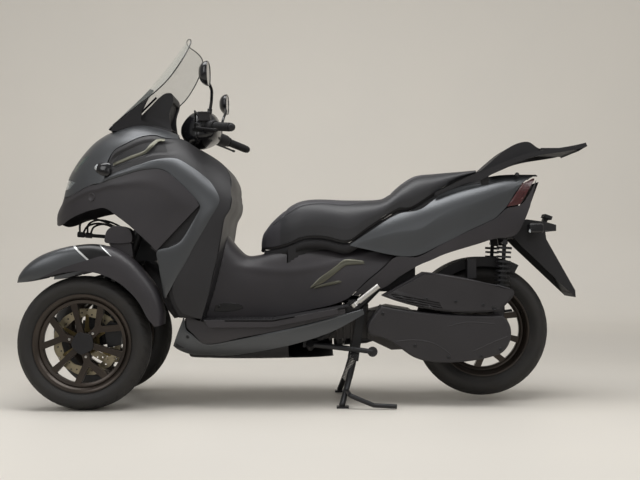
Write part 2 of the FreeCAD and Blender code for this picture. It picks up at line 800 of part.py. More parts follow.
# Silencer on the right side, its header pipe and tail pipe
def muffler():
    wires = []
    for share, size in ((0.30, 0.55), (0.42, 0.92), (0.70, 1.0), (1.10, 1.0), (1.27, 0.88)):
        z = muffler_z(share)
        wires.append(section_wire(unit_x(share), z - 56 * size, z, z + 70 * size, 52 * size,
                                  2.4, 2.4, 182))
    can = Part.makeLoft(wires, True, False)
    port_x = unit_x(-0.22)
    header = bent_tube([(port_x, 30, 254 - fit), (port_x, 30, 228), (port_x + 14, 128, 233),
                        (250, 146, 240), (330, 174, 262), (unit_x(0.36), 182, 274)], 19, 20)
    x = unit_x(1.26)
    z = muffler_z(1.26)
    tail = tube(vec(x - 10, 186, z), vec(x + 46, 186, z + 8), 17, 14)
    strap = block(unit_x(0.78), unit_x(0.86), 119, 140, 316, 372)
    return fuse([can, header, tail, strap])


def muffler_z(share):
    return 268 + (unit_x(share) - unit_x(0.3)) * 0.16


# Mudguard over a front wheel: rows of (angle, edge and crown above the tread, half width)
fender_rows = [(138, 88.2, 92.2, 20), (134, 70.2, 104.2, 42), (127, 55.2, 114.2, 57),
               (118, 44.2, 119.2, 66), (108, 38.2, 119.2, 70), (95, 38.2, 121.2, 70),
               (82, 40.2, 127.2, 70), (72, 42.2, 124.2, 70), (60, 40.2, 112.2, 70),
               (48, 32.2, 88.2, 70), (35, 22.2, 58.2, 69), (22, 16.2, 42.2, 67),
               (13, 32.2, 54.2, 62)]


def fender(side):
    axle = front_axle(side)
    rows = []
    for degrees, edge, crown, half in fender_rows:
        angle = math.radians(degrees)
        fine = []
        for j in range(181):
            a = math.pi * j / 180
            y = -half * math.copysign(abs(math.cos(a)) ** 0.6, math.cos(a))
            r = front_tyre_r + edge + (crown - edge) * abs(math.sin(a)) ** 0.6
            fine.append(axle.add(vec(r * math.cos(angle), y, r * math.sin(angle))))
        rows.append(even_row(fine, 16))
    shell = grid_solid(rows, inset_rows(rows, 4, lambda point: vec(axle.x, axle.y, axle.z)))
    inner_y = axle.y - side * 67
    yoke_y = side * (fork_y + 18 + fit)
    lug_z = kingpin_low_z - 21
    lug = block(fork_x(lug_z) - 30, fork_x(lug_z) + 30, min(inner_y, yoke_y), max(inner_y, yoke_y),
                lug_z - 12, lug_z + 12)
    return fuse([shell, lug], False)


# Painted upper cowl: nose and shoulders, open for the dash, the lamps and the side ducts
cowl_split = [(-1004, 840), (-998, 840), (-988, 841), (-972, 843), (-950, 850), (-928, 859),
              (-888, 877), (-848, 889), (-823, 890), (-783, 904), (-724, 920), (-650, 938),
              (-585, 943), (-520, 940)]


def cowl_skin(thickness, lift=0.0):
    return wrap_panel(cowl_form, cowl_split, thickness, True, 18, lift)


def front_cowl():
    body = cowl_skin(wall)
    duct = [(-823, 800), (-823, 889.4), (-806, 909), (-800, 962), (-771, 1022), (-724, 1050), (-664, 1078),
            (-612, 1086), (-565, 1074), (-480, 1076), (-480, 800)]
    body = body.cut(side_prism(duct, -400, 400))
    body = body.cut(dash_plan(0.0))
    for side in (-1, 1):
        body = body.cut(lamp_prism(side, 0.0)).cut(glow_prism(side, 0.0))
    return body


# Opening for the dash, in plan
def dash_plan(gap):
    outline = [(-850, 66), (-760, 108), (-500, 126), (-430, 126)]
    left = [vec(x + gap, -y + gap, 0) for x, y in outline]
    right = [vec(x + gap, y - gap, 0) for x, y in reversed(outline)]
    corners = left + right
    return Part.Face(Part.makePolygon(corners + [corners[0]])).extrude(vec(0, 0, 1400))


# Headlamp window in the nose, seen from the side, on one side of the centre line
def lamp_prism(side, gap):
    outline = [(-1040, 862 + gap), (-1040, 914 - gap), (-975, 914 - gap), (-938 - gap, 900 - gap),
               (-970, 872 + gap)]
    y0 = side * (16 + gap)
    y1 = side * 300
    return side_prism(outline, min(y0, y1), max(y0, y1))


# Position lamp window higher on the nose
def glow_prism(side, gap):
    outline = [(-957 + gap, 948), (-924, 994 - gap), (-890, 1006 - gap), (-884 - gap, 1000),
               (-908, 980 + gap), (-941, 942 + gap)]
    y0 = side * (40 + gap)
    y1 = side * 300
    return side_prism(outline, min(y0, y1), max(y0, y1))


def front_lamps():
    lamps = []
    thick = cowl_skin(16)
    for side in (-1, 1):
        lamps += thick.common(lamp_prism(side, panel_seam)).Solids
        lamps += thick.common(glow_prism(side, panel_seam)).Solids
    blade = [((-846, 950), (-842, 958)), ((-836, 934), (-826, 968)), ((-812, 920), (-806, 970)),
             ((-790, 918), (-786, 968)), ((-778, 924), (-774, 960))]
    indicator = side_panel(cowl_form, blade, 20, 20 + fit, 4)
    return group(lamps + [indicator, mirrored(indicator)])


# Painted strip that sweeps back from the nose and down the edge of the leg shield
strip_ribs = [((-823, 890), (-805, 908)), ((-783, 904), (-768, 928)), ((-724, 920), (-717, 944)),
              ((-650, 938), (-658, 961)), ((-585, 943), (-599, 979)), ((-545, 930), (-540, 987)),
              ((-525, 915), (-508, 983)), ((-485, 879), (-461, 957)), ((-452, 846), (-422, 930)),
              ((-428, 818), (-382, 896)), ((-416, 800), (-352, 853)), ((-414, 786), (-341, 821)),
              ((-422, 768), (-347, 795)), ((-446, 726), (-373, 750)), ((-474, 679), (-404, 695)),
              ((-497, 652), (-432, 647)), ((-536, 634), (-452, 610)), ((-583, 620), (-470, 577)),
              ((-577, 566), (-500, 528)), ((-565, 490), (-527, 478)), ((-558, 442), (-551, 436))]


def raised(point, amount):
    return (point[0], point[1] + amount)


def leg_shield_trims():
    return pair(side_panel(cowl_form, strip_ribs, wall))


# Dark side panels that meet in a beak below the nose
panel_ribs = [((-1047, 737), (-1009, 833)), ((-1040, 729), (-1003, 836)),
              ((-1025, 724), (-990, 838)), ((-1003, 730), (-964, 844)), ((-962, 752), (-928, 858)),
              ((-900, 774), (-870, 882)), ((-850, 786), (-823, 889)), ((-800, 790), (-783, 903)),
              ((-750, 758), (-724, 919)), ((-700, 722), (-650, 937)), ((-660, 688), (-585, 942)),
              ((-630, 662), (-545, 929)), ((-610, 644), (-525, 914)), ((-600, 634), (-485, 878)),
              ((-594, 628), (-452, 845)), ((-589, 624), (-428, 817)), ((-586, 621), (-417, 798))]


def side_panels():
    ribs = [(low, raised(high, -panel_seam)) for low, high in panel_ribs]
    left = side_panel(cowl_form, ribs, wall, 0.0, 8)
    nose = wrap_panel(cowl_form, [(-1049, 741), (-1046, 745), (-1040, 755), (-1030, 783),
                                  (-1020, 811), (-1012, 833), (-1005, 837.5)], wall, True, 10)
    return fuse([left, mirrored(left), nose], False).cut(cowl_skin(wall + 2, 1.0))


shield_back = [(-500, 1078), (-440, 1036), (-375, 997), (-332, 962), (-306, 919), (-298, 888),
               (-300, 852), (-294, 821), (-300, 786), (-320, 748), (-331, 687), (-345, 600),
               (-372, 480), (-398, 390), (-412, floor_z - 6)]


# Leg shield: dark outer skins and the back wall that faces the rider
def leg_shield():
    ribs = [((-799, 914), (-796, 958)), ((-768, 928), (-771, 1018)), ((-717, 944), (-724, 1046)),
            ((-658, 961), (-664, 1074)), ((-599, 979), (-612, 1082)), ((-540, 987), (-565, 1070)),
            ((-508, 983), (-510, 1074)), ((-461, 957), (-440, 1034)), ((-422, 930), (-375, 995)),
            ((-382, 896), (-333, 960)), ((-352, 853), (-308, 917)), ((-341, 821), (-301, 878)),
            ((-347, 795), (-297, 826)), ((-373, 750), (-303, 786)), ((-404, 695), (-323, 746)),
            ((-432, 647), (-334, 687)), ((-452, 610), (-342, 640)), ((-470, 577), (-350, 590)),
            ((-500, 528), (-362, 540)), ((-522, 478), (-375, 480)), ((-514, 430), (-388, 425)),
            ((-496, 394), (-399, 390)), ((-480, 377), (-409, 356))]
    lifted = []
    for low, high in ribs:
        reach = math.hypot(high[0] - low[0], high[1] - low[1])
        step = panel_seam / reach
        lifted.append(((low[0] + (high[0] - low[0]) * step, low[1] + (high[1] - low[1]) * step),
                       high))
    skin = side_panel(cowl_form, lifted, wall, 0.0, 8)
    rows = []
    inner = []
    for x, z in even_line(shield_back):
        half = form_width(cowl_form, x, z) - wall - 1.5
        row = [vec(x, half * (j - 6) / 6, z) for j in range(13)]
        rows.append(row)
        inner.append([point.add(vec(-wall, 0, -wall / 2)) for point in row])
    back = grid_solid(rows, inner)
    notch = block(-560, -395, -168, 168, 1028, 1200)
    duct = block(-460, -280, -104, 104, 300, 610)
    back = back.cut(notch).cut(duct)
    return group([skin, mirrored(skin)] + back.Solids)


# Front face of the legs, behind the front wheels, with the radiator in its middle
def radiator():
    back_x = down_x - rail_r - fit
    core = block(back_x - 32, back_x - 4, -115, 115, 330, 516)
    tanks = [block(back_x - 36, back_x, side * 128 - 14, side * 128 + 14, 322, 524)
             for side in (-1, 1)]
    fins = [block(back_x - 34, back_x - 2, -114, 114, 338 + 12 * i, 340 + 12 * i)
            for i in range(15)]
    pads = [block(back_x - 6, back_x, side * 90 - 8, side * 90 + 8, 336, 356) for side in (-1, 1)]
    return fuse([core] + tanks + fins + pads)


tunnel_form = {
    "low": [(-520, 300), (-100, 300), (400, 330)],
    "mid": [(-520, 420), (-100, 430), (400, 470)],
    "top": [(-520, 760), (-400, 716), (-339, 690), (-290, 634), (-254, 604), (-200, 606),
            (-136, 626), (-71, 644), (14, 660), (165, 652), (400, 640)],
    "half": [(-520, 190), (-440, 160), (-360, 132), (-250, 112), (-100, 112), (0, tunnel_half_w),
             (150, 146), (300, 158), (400, 162)],
    "full_top": 3.2,
    "full_low": 5.0,
}

skirt_form = {
    "low": [(-530, 196), (-450, 184), (-100, belly_z), (150, belly_z + 14), (260, belly_z + 60)],
    "mid": [(-530, 320), (-100, 330), (260, 380)],
    "top": [(-530, 480), (260, 500)],
    "half": [(-530, 232), (-470, 252), (-380, 264), (-200, 268), (0, 258), (150, 238), (260, 214)],
    "full_top": 6.0,
    "full_low": 2.8,
}

tail_form = {
    "low": [(150, 350), (440, 430), (640, 540), (760, 600), (850, 620), (950, 670)],
    "mid": [(150, 590), (440, 650), (640, 740), (800, 810), (950, 880)],
    "top": [(150, 720), (376, 812), (520, 862), (640, 902), (788, 936), (950, 940)],
    "half": [(150, 156), (300, 166), (440, tail_half_w), (640, 160), (800, 140), (900, 118),
             (950, 100)],
    "full_top": 3.4,
    "full_low": 4.0,
}

seat_top = [(-194, 652), (-188, 686), (-172, 712), (-152, 739), (-107, 781), (-67, 812),
            (-22, 831), (43, 837), (152, 832), (254, 832), (302, 837), (331, 851), (396, 905),
            (448, 934), (525, 942), (690, 956)]
seat_low = [(-194, 621), (-134, 627), (-70, 645), (-30, 663), (15, 670), (71, 668), (164, 652),
            (248, 708), (365, 780), (418, 786), (514, 845), (615, 901), (690, 928)]
seat_half = [(-194, 34), (-186, 48), (-172, 62), (-107, 88), (-22, 120), (100, 150),
             (200, seat_half_w), (300, 154), (400, 140), (520, 126), (620, 112), (690, 100)]


# Centre tunnel cover between the rider's feet, running back under the seat
def centre_tunnel():
    edge = [(-420, floor_z + seat_gap), (-360, floor_z + seat_gap), (-300, floor_z + seat_gap),
            (-240, floor_z + seat_gap), (-180, floor_z + seat_gap), (-136, floor_z + seat_gap),
            (-71, floor_z + 13), (14, 384), (100, 404), (160, 428), (186, 449), (240, 502),
            (300, 552), (354, 606)]
    body = wrap_panel(tunnel_form, edge, wall, True, 20)
    front = [(x + seam, z) for x, z in even_line(shield_back) if z < 770]
    body = body.cut(side_prism(front + [(-600, floor_z - 10), (-600, 748)], -300, 300))
    top = [(x, z - 7) for x, z in seat_low]
    body = body.cut(side_prism(top + [(700, 1000), (-194, 1000)], -300, 300))
    body = body.cut(block(-84, 400, -tub_half_w - 3, tub_half_w + 3, 540, 760))
    ears = [block(seat_hinge_x - 8, seat_hinge_x + 8, min(side * 24.3, side * 30),
                  max(side * 24.3, side * 30), 603, 619) for side in (-1, 1)]
    return fuse([body] + ears, False)


# Olive accents: a bent blade on each side of the tunnel and a rail round the cowl's duct
def accent_trims():
    upper = [((11, 470), (13, 474)), ((60, 492), (52, 513)), ((98, 520), (80, 533)),
             ((130, 546), (112, 556)), ((156, 563), (150, 584)), ((190, 567), (184, 586)),
             ((231, 569), (227, 580))]
    lower = [((26, 469), (30, 475)), ((70, 480), (72, 488)), ((110, 488), (106, 497)),
             ((139, 497), (137, 500))]
    rail = [((-768, 958), (-768, 968)), ((-750, 964), (-750, 974)), ((-704, 981), (-704, 991)),
            ((-640, 1004), (-642, 1014)), ((-612, 1030), (-622, 1040)), ((-592, 1054), (-598, 1064)),
            ((-568, 1056), (-568, 1066))]
    pieces = [side_panel(tunnel_form, upper, 1.8, 2.8, 3),
              side_panel(tunnel_form, lower, 1.8, 2.8, 3),
              side_panel(cowl_form, rail, 2.2, 2.8, 3)]
    return group([piece for left in pieces for piece in left.Solids + mirrored(left).Solids])


# Footboards with ribbed treads and their dark sides
def footboards():
    boards = []
    ribs = [((-470, 321), (-473, 364)), ((-444, 296), (-440, 354)),
            ((-398, 257), (-398, floor_z - 8)), ((-240, 286), (-240, floor_z - 8)),
            ((-85, 316), (-85, floor_z - 1)), ((60, 351), (60, floor_z + 26)),
            ((150, 374), (150, floor_z + 43))]
    side_skin = side_panel(skirt_form, ribs, wall)
    for side in (-1, 1):
        y0 = side * 114
        y1 = side * floor_half_w
        outline = [(-408, floor_z), (-133, floor_z), (166, floor_z + 55), (166, floor_z + 49),
                   (-133, floor_z - 6), (-408, floor_z - 6)]
        plate = side_prism(outline, min(y0, y1), max(y0, y1))
        lip0 = side * (floor_half_w - 6)
        outline = [(-400, floor_z), (-133, floor_z), (120, floor_z + 46), (120, floor_z + 24),
                   (-133, floor_z - 28), (-380, floor_z - 30)]
        lip = side_prism(outline, min(lip0, y1), max(lip0, y1))
        treads = [block(-398 + 18 * i, -390 + 18 * i, min(side * 150, side * 262),
                        max(side * 150, side * 262), floor_z - 1, floor_z + 3.5) for i in range(16)]
        plan = [(-408, 100), (-408, 274), (-300, floor_half_w), (-60, floor_half_w),
                (80, 266), (166, 240), (166, 100)]
        corners = [vec(x, side * y, 0) for x, y in plan]
        mask = Part.Face(Part.makePolygon(corners + [corners[0]])).extrude(vec(0, 0, 900))
        board = fuse([plate, lip] + treads).common(mask)
        board = board.cut(block(150, 170, min(side * 192, side * 214), max(side * 192, side * 214),
                                380, 420))
        skin = side_skin if side < 0 else mirrored(side_skin)
        boards.append(board)
        boards += skin.Solids
    return group(boards)


skirt_ribs = [((-529, 246), (-480, 368)), ((-508, 228), (-474, 316)), ((-470, 212), (-448, 294)),
              ((-430, 207), (-410, 261)), ((-390, 206), (-376, 255)), ((-300, 206), (-280, 273)),
              ((-158, 231), (-150, 301)), ((-28, 262), (-20, 328)), ((108, 309), (100, 360)),
              ((226, 372), (220, 392))]


def lower_skirts():
    return pair(side_panel(skirt_form, skirt_ribs, wall))


def belly_pan():
    edge = [(-470, 210), (-420, 206), (-300, 204), (-158, 230), (-28, 261), (60, 290), (106, 307)]
    pan = wrap_panel(skirt_form, [raised(p, -panel_seam) for p in edge], wall, False, 14)
    return pan.cut(block(side_pivot_x - 84, 200, -400, -100, 100, 400))


def tail_covers():
    ribs = [((172, 643), (174, 648)), ((240, 627), (250, 699)), ((356, 603), (365, 770)),
            ((440, 603), (455, 789)), ((532, 645), (540, 848)), ((600, 678), (625, 884)),
            ((652, 705), (700, 896)), ((756, 753), (788, 922)), ((780, 775), (819, 923)),
            ((804, 799), (850, 925)),
            ((868, 900), (925, 928))]
    return pair(side_panel(tail_form, ribs, wall))


def tail_lower():
    ribs = [((188, 440), (184, 446)), ((250, 458), (240, 500)), ((313, 476), (300, 550)),
            ((373, 520), (356, 599)), ((440, 560), (440, 599)), ((494, 583), (532, 645)),
            ((563, 612), (652, 705)), ((696, 652), (756, 753)), ((730, 663), (781, 773)),
            ((764, 672), (806, 795)),
            ((842, 684), (866, 811)), ((880, 740), (900, 850)), ((906, 800), (936, 914))]
    ribs = [(low, raised(high, -2.2)) for low, high in ribs]
    skin = side_panel(tail_form, ribs, wall)
    back = side_prism([(884, 746), (944, 904), (947, 903), (887, 743)], -96, 96)
    floor = side_prism([(826, 678), (842, 680), (884, 744), (887, 742), (845, 676), (826, 674)],
                       -119, 119)
    return fuse([skin, mirrored(skin), back, floor], False)


def tail_lamp():
    ribs = [((808, 801), (874, 896)), ((830, 805), (903, 909)), ((864, 813), (922, 918)),
            ((880, 838), (930, 917))]
    return pair(side_panel(tail_form, ribs, 26, 0.4))


# Dark deck on top of the tail, under the carrier
def tail_deck():
    edge = [(640, 890), (700, 898), (788, 925), (850, 928), (900, 930), (946, 930)]
    return wrap_panel(tail_form, edge, wall, True, 10)


# Seat cushion: crowned above, its underside along the seat's lower line
def seat_pad():
    rows = []
    under = []
    count = 30
    for i in range(count + 1):
        x = -192 + 882 * i / count
        top = table_at(seat_top, x)
        low = table_at(seat_low, x) + pad_lift
        half = table_at(seat_half, x)
        edge = low + 0.25 * (top - low)
        fine = []
        for j in range(181):
            a = math.pi * j / 180
            y = -half * math.copysign(abs(math.cos(a)) ** 0.7, math.cos(a))
            fine.append(vec(x, y, edge + (top - edge) * abs(math.sin(a)) ** 0.8))
        rows.append(even_row(fine, 16))
        under.append([vec(x, half * 0.96 * (j - 8) / 8, low) for j in range(17)])
    return grid_solid(rows, under)


# Seat base, a stiff tray under the cushion
def seat_pan():
    rows = []
    under = []
    count = 30
    for i in range(count + 1):
        x = -192 + 882 * i / count
        low = table_at(seat_low, x)
        half = table_at(seat_half, x) * 0.94
        rows.append([vec(x, -half + half * j / 3, low + pad_lift - 0.5) for j in range(7)])
        under.append([vec(x, (-half + half * j / 3) * 0.97, low + 3) for j in range(7)])
    body = grid_solid(rows, under)
    lug = cylinder(vec(seat_hinge_x, -24, seat_hinge_z), vec(seat_hinge_x, 24, seat_hinge_z), 8)
    return fuse([body, lug])


# Grab rails along the pillion seat that run back into the carrier
def grab_rails():
    bars = []
    for side in (-1, 1):
        y0 = side * 144
        y1 = side * 128
        runs = [[(516, 858), (560, 878), (640, 918), (736, 956), (907, 1020), (1029, 1040),
                 (1127, 1060)],
                [(1127, 1060), (1133, 1045)],
                [(1133, 1045), (1029, 1022), (907, 1000), (797, 956), (744, 930), (700, 908),
                 (652, 898), (600, 882), (516, 844)],
                [(516, 844), (516, 858)]]
        bars.append(run_prism(runs, min(y0, y1), max(y0, y1)))
        bars.append(block(706, 736, min(side * 108, side * 130), max(side * 108, side * 130),
                          880, 926))
    plate = block(950, 1110, -129, 129, 1032, 1040)
    bridge = side_prism([(1096, 1038), (1127, 1058), (1131, 1044), (1100, 1026)], -129, 129)
    hump = run_prism([[(708, 950), (737, 974), (820, 1042), (873, 1066), (911, 1066), (936, 1048),
                       (956, 1040)], [(956, 1040), (950, 1024)],
                      [(950, 1024), (907, 1004), (744, 932)], [(744, 932), (708, 950)]], -100, 100)
    cross = side_prism([(744, 936), (907, 1006), (907, 1014), (744, 944)], -129, 129)
    body = fuse(bars + [plate, bridge, hump, cross])
    for x in (990, 1070):
        for y in (-50, 50):
            body = body.cut(Part.makeCylinder(3.3, 60, vec(x, y, 1000)))
    shelf = [(690, 842), (720, 848), (750, 854)]
    return body.cut(wrap_panel(tail_form, shelf, 40, True, 10, fit))


# Storage tub under the seat, open at the top
def storage_tub():
    outline = [(-80, tub_z), (440, tub_z), (440, 770), (372, 770), (250, 700), (164, 643), (71, 659),
               (15, 661), (-30, 654), (-80, 638)]
    body = side_prism(outline, -tub_half_w, tub_half_w)
    inner = [(-80 + wall, tub_z + wall), (440 - wall, tub_z + wall), (440 - wall, 800),
             (-80 + wall, 800)]
    return body.cut(side_prism(inner, -tub_half_w + wall, tub_half_w - wall))


# Mudguard and plate holder hung under the tail
def plate_holder():
    outline = [(845.4, 675.6), (880, 640), (1101, 431), (1099, 460), (981, 671), (977, 704),
               (1022, 704), (1022, 729), (981, 741), (900, 752), (892, 750), (887.4, 741.6)]
    body = side_prism(outline, -82, 82)
    pocket = side_prism([(842, 660), (1080, 436), (1083, 452), (966, 660), (900, 700), (860, 690)],
                        -78, 78)
    body = body.cut(pocket)
    stems = [block(906, 944, min(side * 78, side * 100), max(side * 78, side * 100), 704, 726)
             for side in (-1, 1)]
    return fuse([body] + stems)


def rear_indicators():
    lamps = []
    for side in (-1, 1):
        y0 = side * (100 + fit)
        y1 = side * 152
        lamps.append(rounded_block(896, 954, min(y0, y1), max(y0, y1), 694, 734, 9))
    return group(lamps)


# Meter hood and the dash deck between the cowl and the handlebar
deck_edge = [(-844, 1000), (-800, 1010), (-740, 1020), (-680, 1030), (-620, 1030), (-556, 1020)]


def dash_panel():
    hood = run_prism([[(-672, 1150), (-652, 1204), (-610, 1252), (-588, 1268), (-560, 1270)],
                      [(-560, 1270), (-553, 1246), (-566, 1196), (-566, 1150), (-560, 1118)],
                      [(-560, 1118), (-672, 1118)], [(-672, 1118), (-672, 1150)]], -88, 88)
    screen = side_prism([(-600, 1126), (-576, 1190), (-564, 1236), (-530, 1236), (-530, 1126)],
                        -72, 72)
    hood = hood.cut(screen)
    deck = wrap_panel(cowl_form, deck_edge, wall, True, 14).common(dash_plan(panel_seam))
    return fuse(deck.Solids + [hood], False)


# Windscreen: a swept-back sheet, curved in plan, narrower at its top
def windscreen():
    rows = []
    for i in range(9):
        z = 1128 + (1492 - 1128) * i / 8
        x_mid = table_at([(1128, -832), (1287, -668), (1411, -566), (1493, -507)], z)
        row = []
        for j in range(-8, 9):
            y = 250 * j / 8
            row.append(vec(x_mid + 105 * (abs(y) / 230) ** 2.1, y, z))
        rows.append(row)
    surface = Part.BSplineSurface()
    surface.interpolate(rows)
    sheet = surface.toShape().extrude(vec(4, 0, 0))
    front = run_shape([[(-150, 1130), (-222, 1240), (-226, 1330), (-196, 1430)],
                       [(-196, 1430), (-160, 1474), (-90, 1488), (0, 1490), (90, 1488),
                        (160, 1474), (196, 1430)],
                       [(196, 1430), (226, 1330), (222, 1240), (150, 1130)],
                       [(150, 1130), (-150, 1130)]])
    return sheet.common(front)


# Prism along X from an outline given as (y, z) runs
def run_shape(runs):
    edges = []
    for run in runs:
        corners = [vec(-1000, y, z) for y, z in run]
        if len(corners) == 2:
            edges.append(Part.LineSegment(corners[0], corners[1]).toShape())
        else:
            curve = Part.BSplineCurve()
            curve.interpolate(corners)
            edges.append(curve.toShape())
    return Part.Face(Part.Wire(edges)).extrude(vec(800, 0, 0))


# Dark mounting frame behind the windscreen's foot
def windscreen_bracket():
    arms = []
    for side in (-1, 1):
        outline = [(-822, 1124), (-700, 1246), (-664, 1284), (-650, 1280), (-676, 1240),
                   (-700, 1190), (-700, 1158), (-640, 1128), (-640, 1118), (-800, 1112)]
        y0 = side * 92
        y1 = side * 106
        moved = [(x + 19, z) for x, z in outline]
        arms.append(side_prism(moved, min(y0, y1), max(y0, y1)))
    foot = side_prism([(-806, 1112), (-786, 1142), (-770, 1142), (-776, 1112)], -106, 106)
    body = fuse(arms + [foot])
    return body.cut(wrap_panel(cowl_form, [raised(p, -60) for p in deck_edge], 60, True, 16, fit))


def handlebar():
    pin = cylinder(vec(column_x_at(880), 0, 880), vec(column_x_at(1112), 0, 1112), column_pin_r)
    collar = cylinder(vec(column_x_at(1012), 0, 1012), vec(column_x_at(1030), 0, 1030),
                      column_tube_r)
    top_x = column_x_at(1112)
    clamp = rounded_block(top_x - 26, top_x + 26, -48, 48, 1096, 1134, 6)
    return fuse([pin, collar, clamp, handlebar_tube(bar_r)])


# Cover over the handlebar's middle
def handlebar_cover():
    form_rows = ((-528, 1104, 1124, 1148, 36), (-508, 1068, 1104, 1178, 68),
                 (-480, 1054, 1098, 1200, 98), (-440, 1054, 1100, 1208, 118),
                 (-400, 1070, 1110, 1198, 112), (-372, 1092, 1120, 1168, 80))
    body = Part.makeLoft([section_wire(*row, 2.4, 2.6) for row in form_rows], True, False)
    inner_rows = ((-521, 1110, 1124, 1142, 30), (-504, 1075, 1104, 1172, 62),
                  (-478, 1060, 1098, 1194, 92), (-442, 1060, 1100, 1202, 112),
                  (-404, 1076, 1110, 1192, 106), (-380, 1096, 1120, 1164, 74))
    body = body.cut(Part.makeLoft([section_wire(*row, 2.4, 2.6) for row in inner_rows], True, False))
    body = body.cut(handlebar_tube(bar_r + fit))
    column = cylinder(vec(column_x_at(1000), 0, 1000), vec(column_x_at(1112), 0, 1112),
                      column_tube_r + 6)
    return body.cut(column)


def handlebar_tube(radius):
    top_x = column_x_at(1112)
    return bent_tube([(-288, -grip_end_y, 1092), (-392, -190, 1120), (top_x, -90, 1120),
                      (top_x, 90, 1120), (-392, 190, 1120), (-288, grip_end_y, 1092)], radius, 60)


# Point on the bar's outer run: 0 at the bend, 1 at the grip's end
def bar_point(side, share):
    return vec(-392 + share * 104, side * (190 + share * (grip_end_y - 190)),
               1120 - share * 28)


def hand_controls():
    pieces = []
    room = handlebar_tube(bar_r + fit)
    for side in (-1, 1):
        grip = tube(bar_point(side, 0.28), bar_point(side, 1.0), grip_r, bar_r + fit)
        flange = tube(bar_point(side, 0.28), bar_point(side, 0.32), grip_r + 5, bar_r + fit)
        weight = cylinder(bar_point(side, 1.0), bar_point(side, 1.06), grip_r - 2)
        pod = cylinder(bar_point(side, -0.10), bar_point(side, 0.26), 24)
        pod_centre = bar_point(side, 0.06)
        tank = rounded_block(pod_centre.x - 46, pod_centre.x + 2, min(side * 172, side * 226),
                             max(side * 172, side * 226), 1136, 1172, 6)
        neck = block(pod_centre.x - 34, pod_centre.x - 8, min(side * 184, side * 214),
                     max(side * 184, side * 214), 1118, 1140)
        root = bar_point(side, 0.02).add(vec(-46, 0, -4))
        knee = bar_point(side, 0.30).add(vec(-60, 0, -6))
        tip = bar_point(side, 0.98).add(vec(-54, 0, -10))
        arm = cylinder(root, root.add(vec(36, 0, 4)), 8)
        lever = fuse([arm, cylinder(root, knee, 7), Part.makeSphere(7.4, root),
                      Part.makeSphere(7.4, knee)])
        lever = fuse([lever, cylinder(knee, tip, 6)])
        lever = fuse([lever, Part.makeSphere(8, tip)])
        pieces.append(fuse([grip, flange, weight]))
        pieces.append(fuse([pod, tank, neck, lever]).cut(room))
    return group(pieces)


# Rear-view mirrors on bent stems
def mirrors():
    pieces = []
    for side in (-1, 1):
        stem = bent_tube([(-388, side * 205, 1173), (-380, side * 212, 1212),
                          (-372, side * 262, 1252), (-386, side * 310, 1284)], 6, 18)
        wires = []
        for dx, size in ((-26, 0.55), (-14, 0.86), (0, 0.98), (8, 1.0)):
            points = []
            for i in range(16):
                a = 2 * math.pi * i / 16
                c = math.cos(a)
                s = math.sin(a)
                points.append(vec(-383 + dx,
                                  side * mirror_y + 62 * size * math.copysign(abs(c) ** 0.8, c),
                                  mirror_z + 46 * size * math.copysign(abs(s) ** 0.8, s)))
            wires.append(loop_wire(points))
        pieces.append(fuse([stem, Part.makeLoft(wires, True, False)]))
    return group(pieces)


# Folded pillion peg and its bracket
peg_x = 186.0
peg_z = 408.0
peg_y = 226.0
peg_deg = 38.0
peg_eye_r = 12.0
peg_eye_half = 8.0
peg_pin_r = 5.0


# Point near a peg's hinge: so far along the peg and so far along its pin
def peg_point(side, along, across):
    c = math.cos(math.radians(peg_deg))
    s = math.sin(math.radians(peg_deg))
    return vec(peg_x + along * c + across * s, side * peg_y, peg_z + along * s - across * c)


def peg(side):
    eye = cylinder(peg_point(side, 0, -peg_eye_half), peg_point(side, 0, peg_eye_half), peg_eye_r)
    neck = cylinder(peg_point(side, 0, 0), peg_point(side, 26, 0), 7)
    body = cylinder(peg_point(side, 22, 0), peg_point(side, 122, 0), 11)
    bore = cylinder(peg_point(side, 0, -30), peg_point(side, 0, 30), peg_pin_r + fit)
    return fuse([eye, neck, body]).cut(bore)


# Arm of a peg with a fork at its end: two cheeks that hold the hinge pin
def peg_brackets():
    arms = []
    near = peg_eye_half + 0.5
    for side in (-1, 1):
        arm = side_prism([(150, 374), (202, 374), (202, 398), (160, 398)],
                         min(side * 96, side * 208), max(side * 96, side * 208))
        end = side_prism([(150, 374), (202, 374), (208, 398), (190, 429), (164, 424), (156, 398)],
                         min(side * 198, side * 208), max(side * 198, side * 208))
        cheeks = []
        for turn in (-1, 1):
            corners = [peg_point(side, a, turn * b) for a, b in
                       ((-9, near), (9, near), (9, near + 6), (-9, near + 6))]
            cheeks.append(side_prism([(c.x, c.z) for c in corners], min(side * 206, side * (peg_y + 7)),
                                     max(side * 206, side * (peg_y + 7))))
        pin = cylinder(peg_point(side, 0, -near - 8), peg_point(side, 0, near + 8), peg_pin_r)
        arms.append(fuse([arm, end, pin] + cheeks))
    return group(arms)


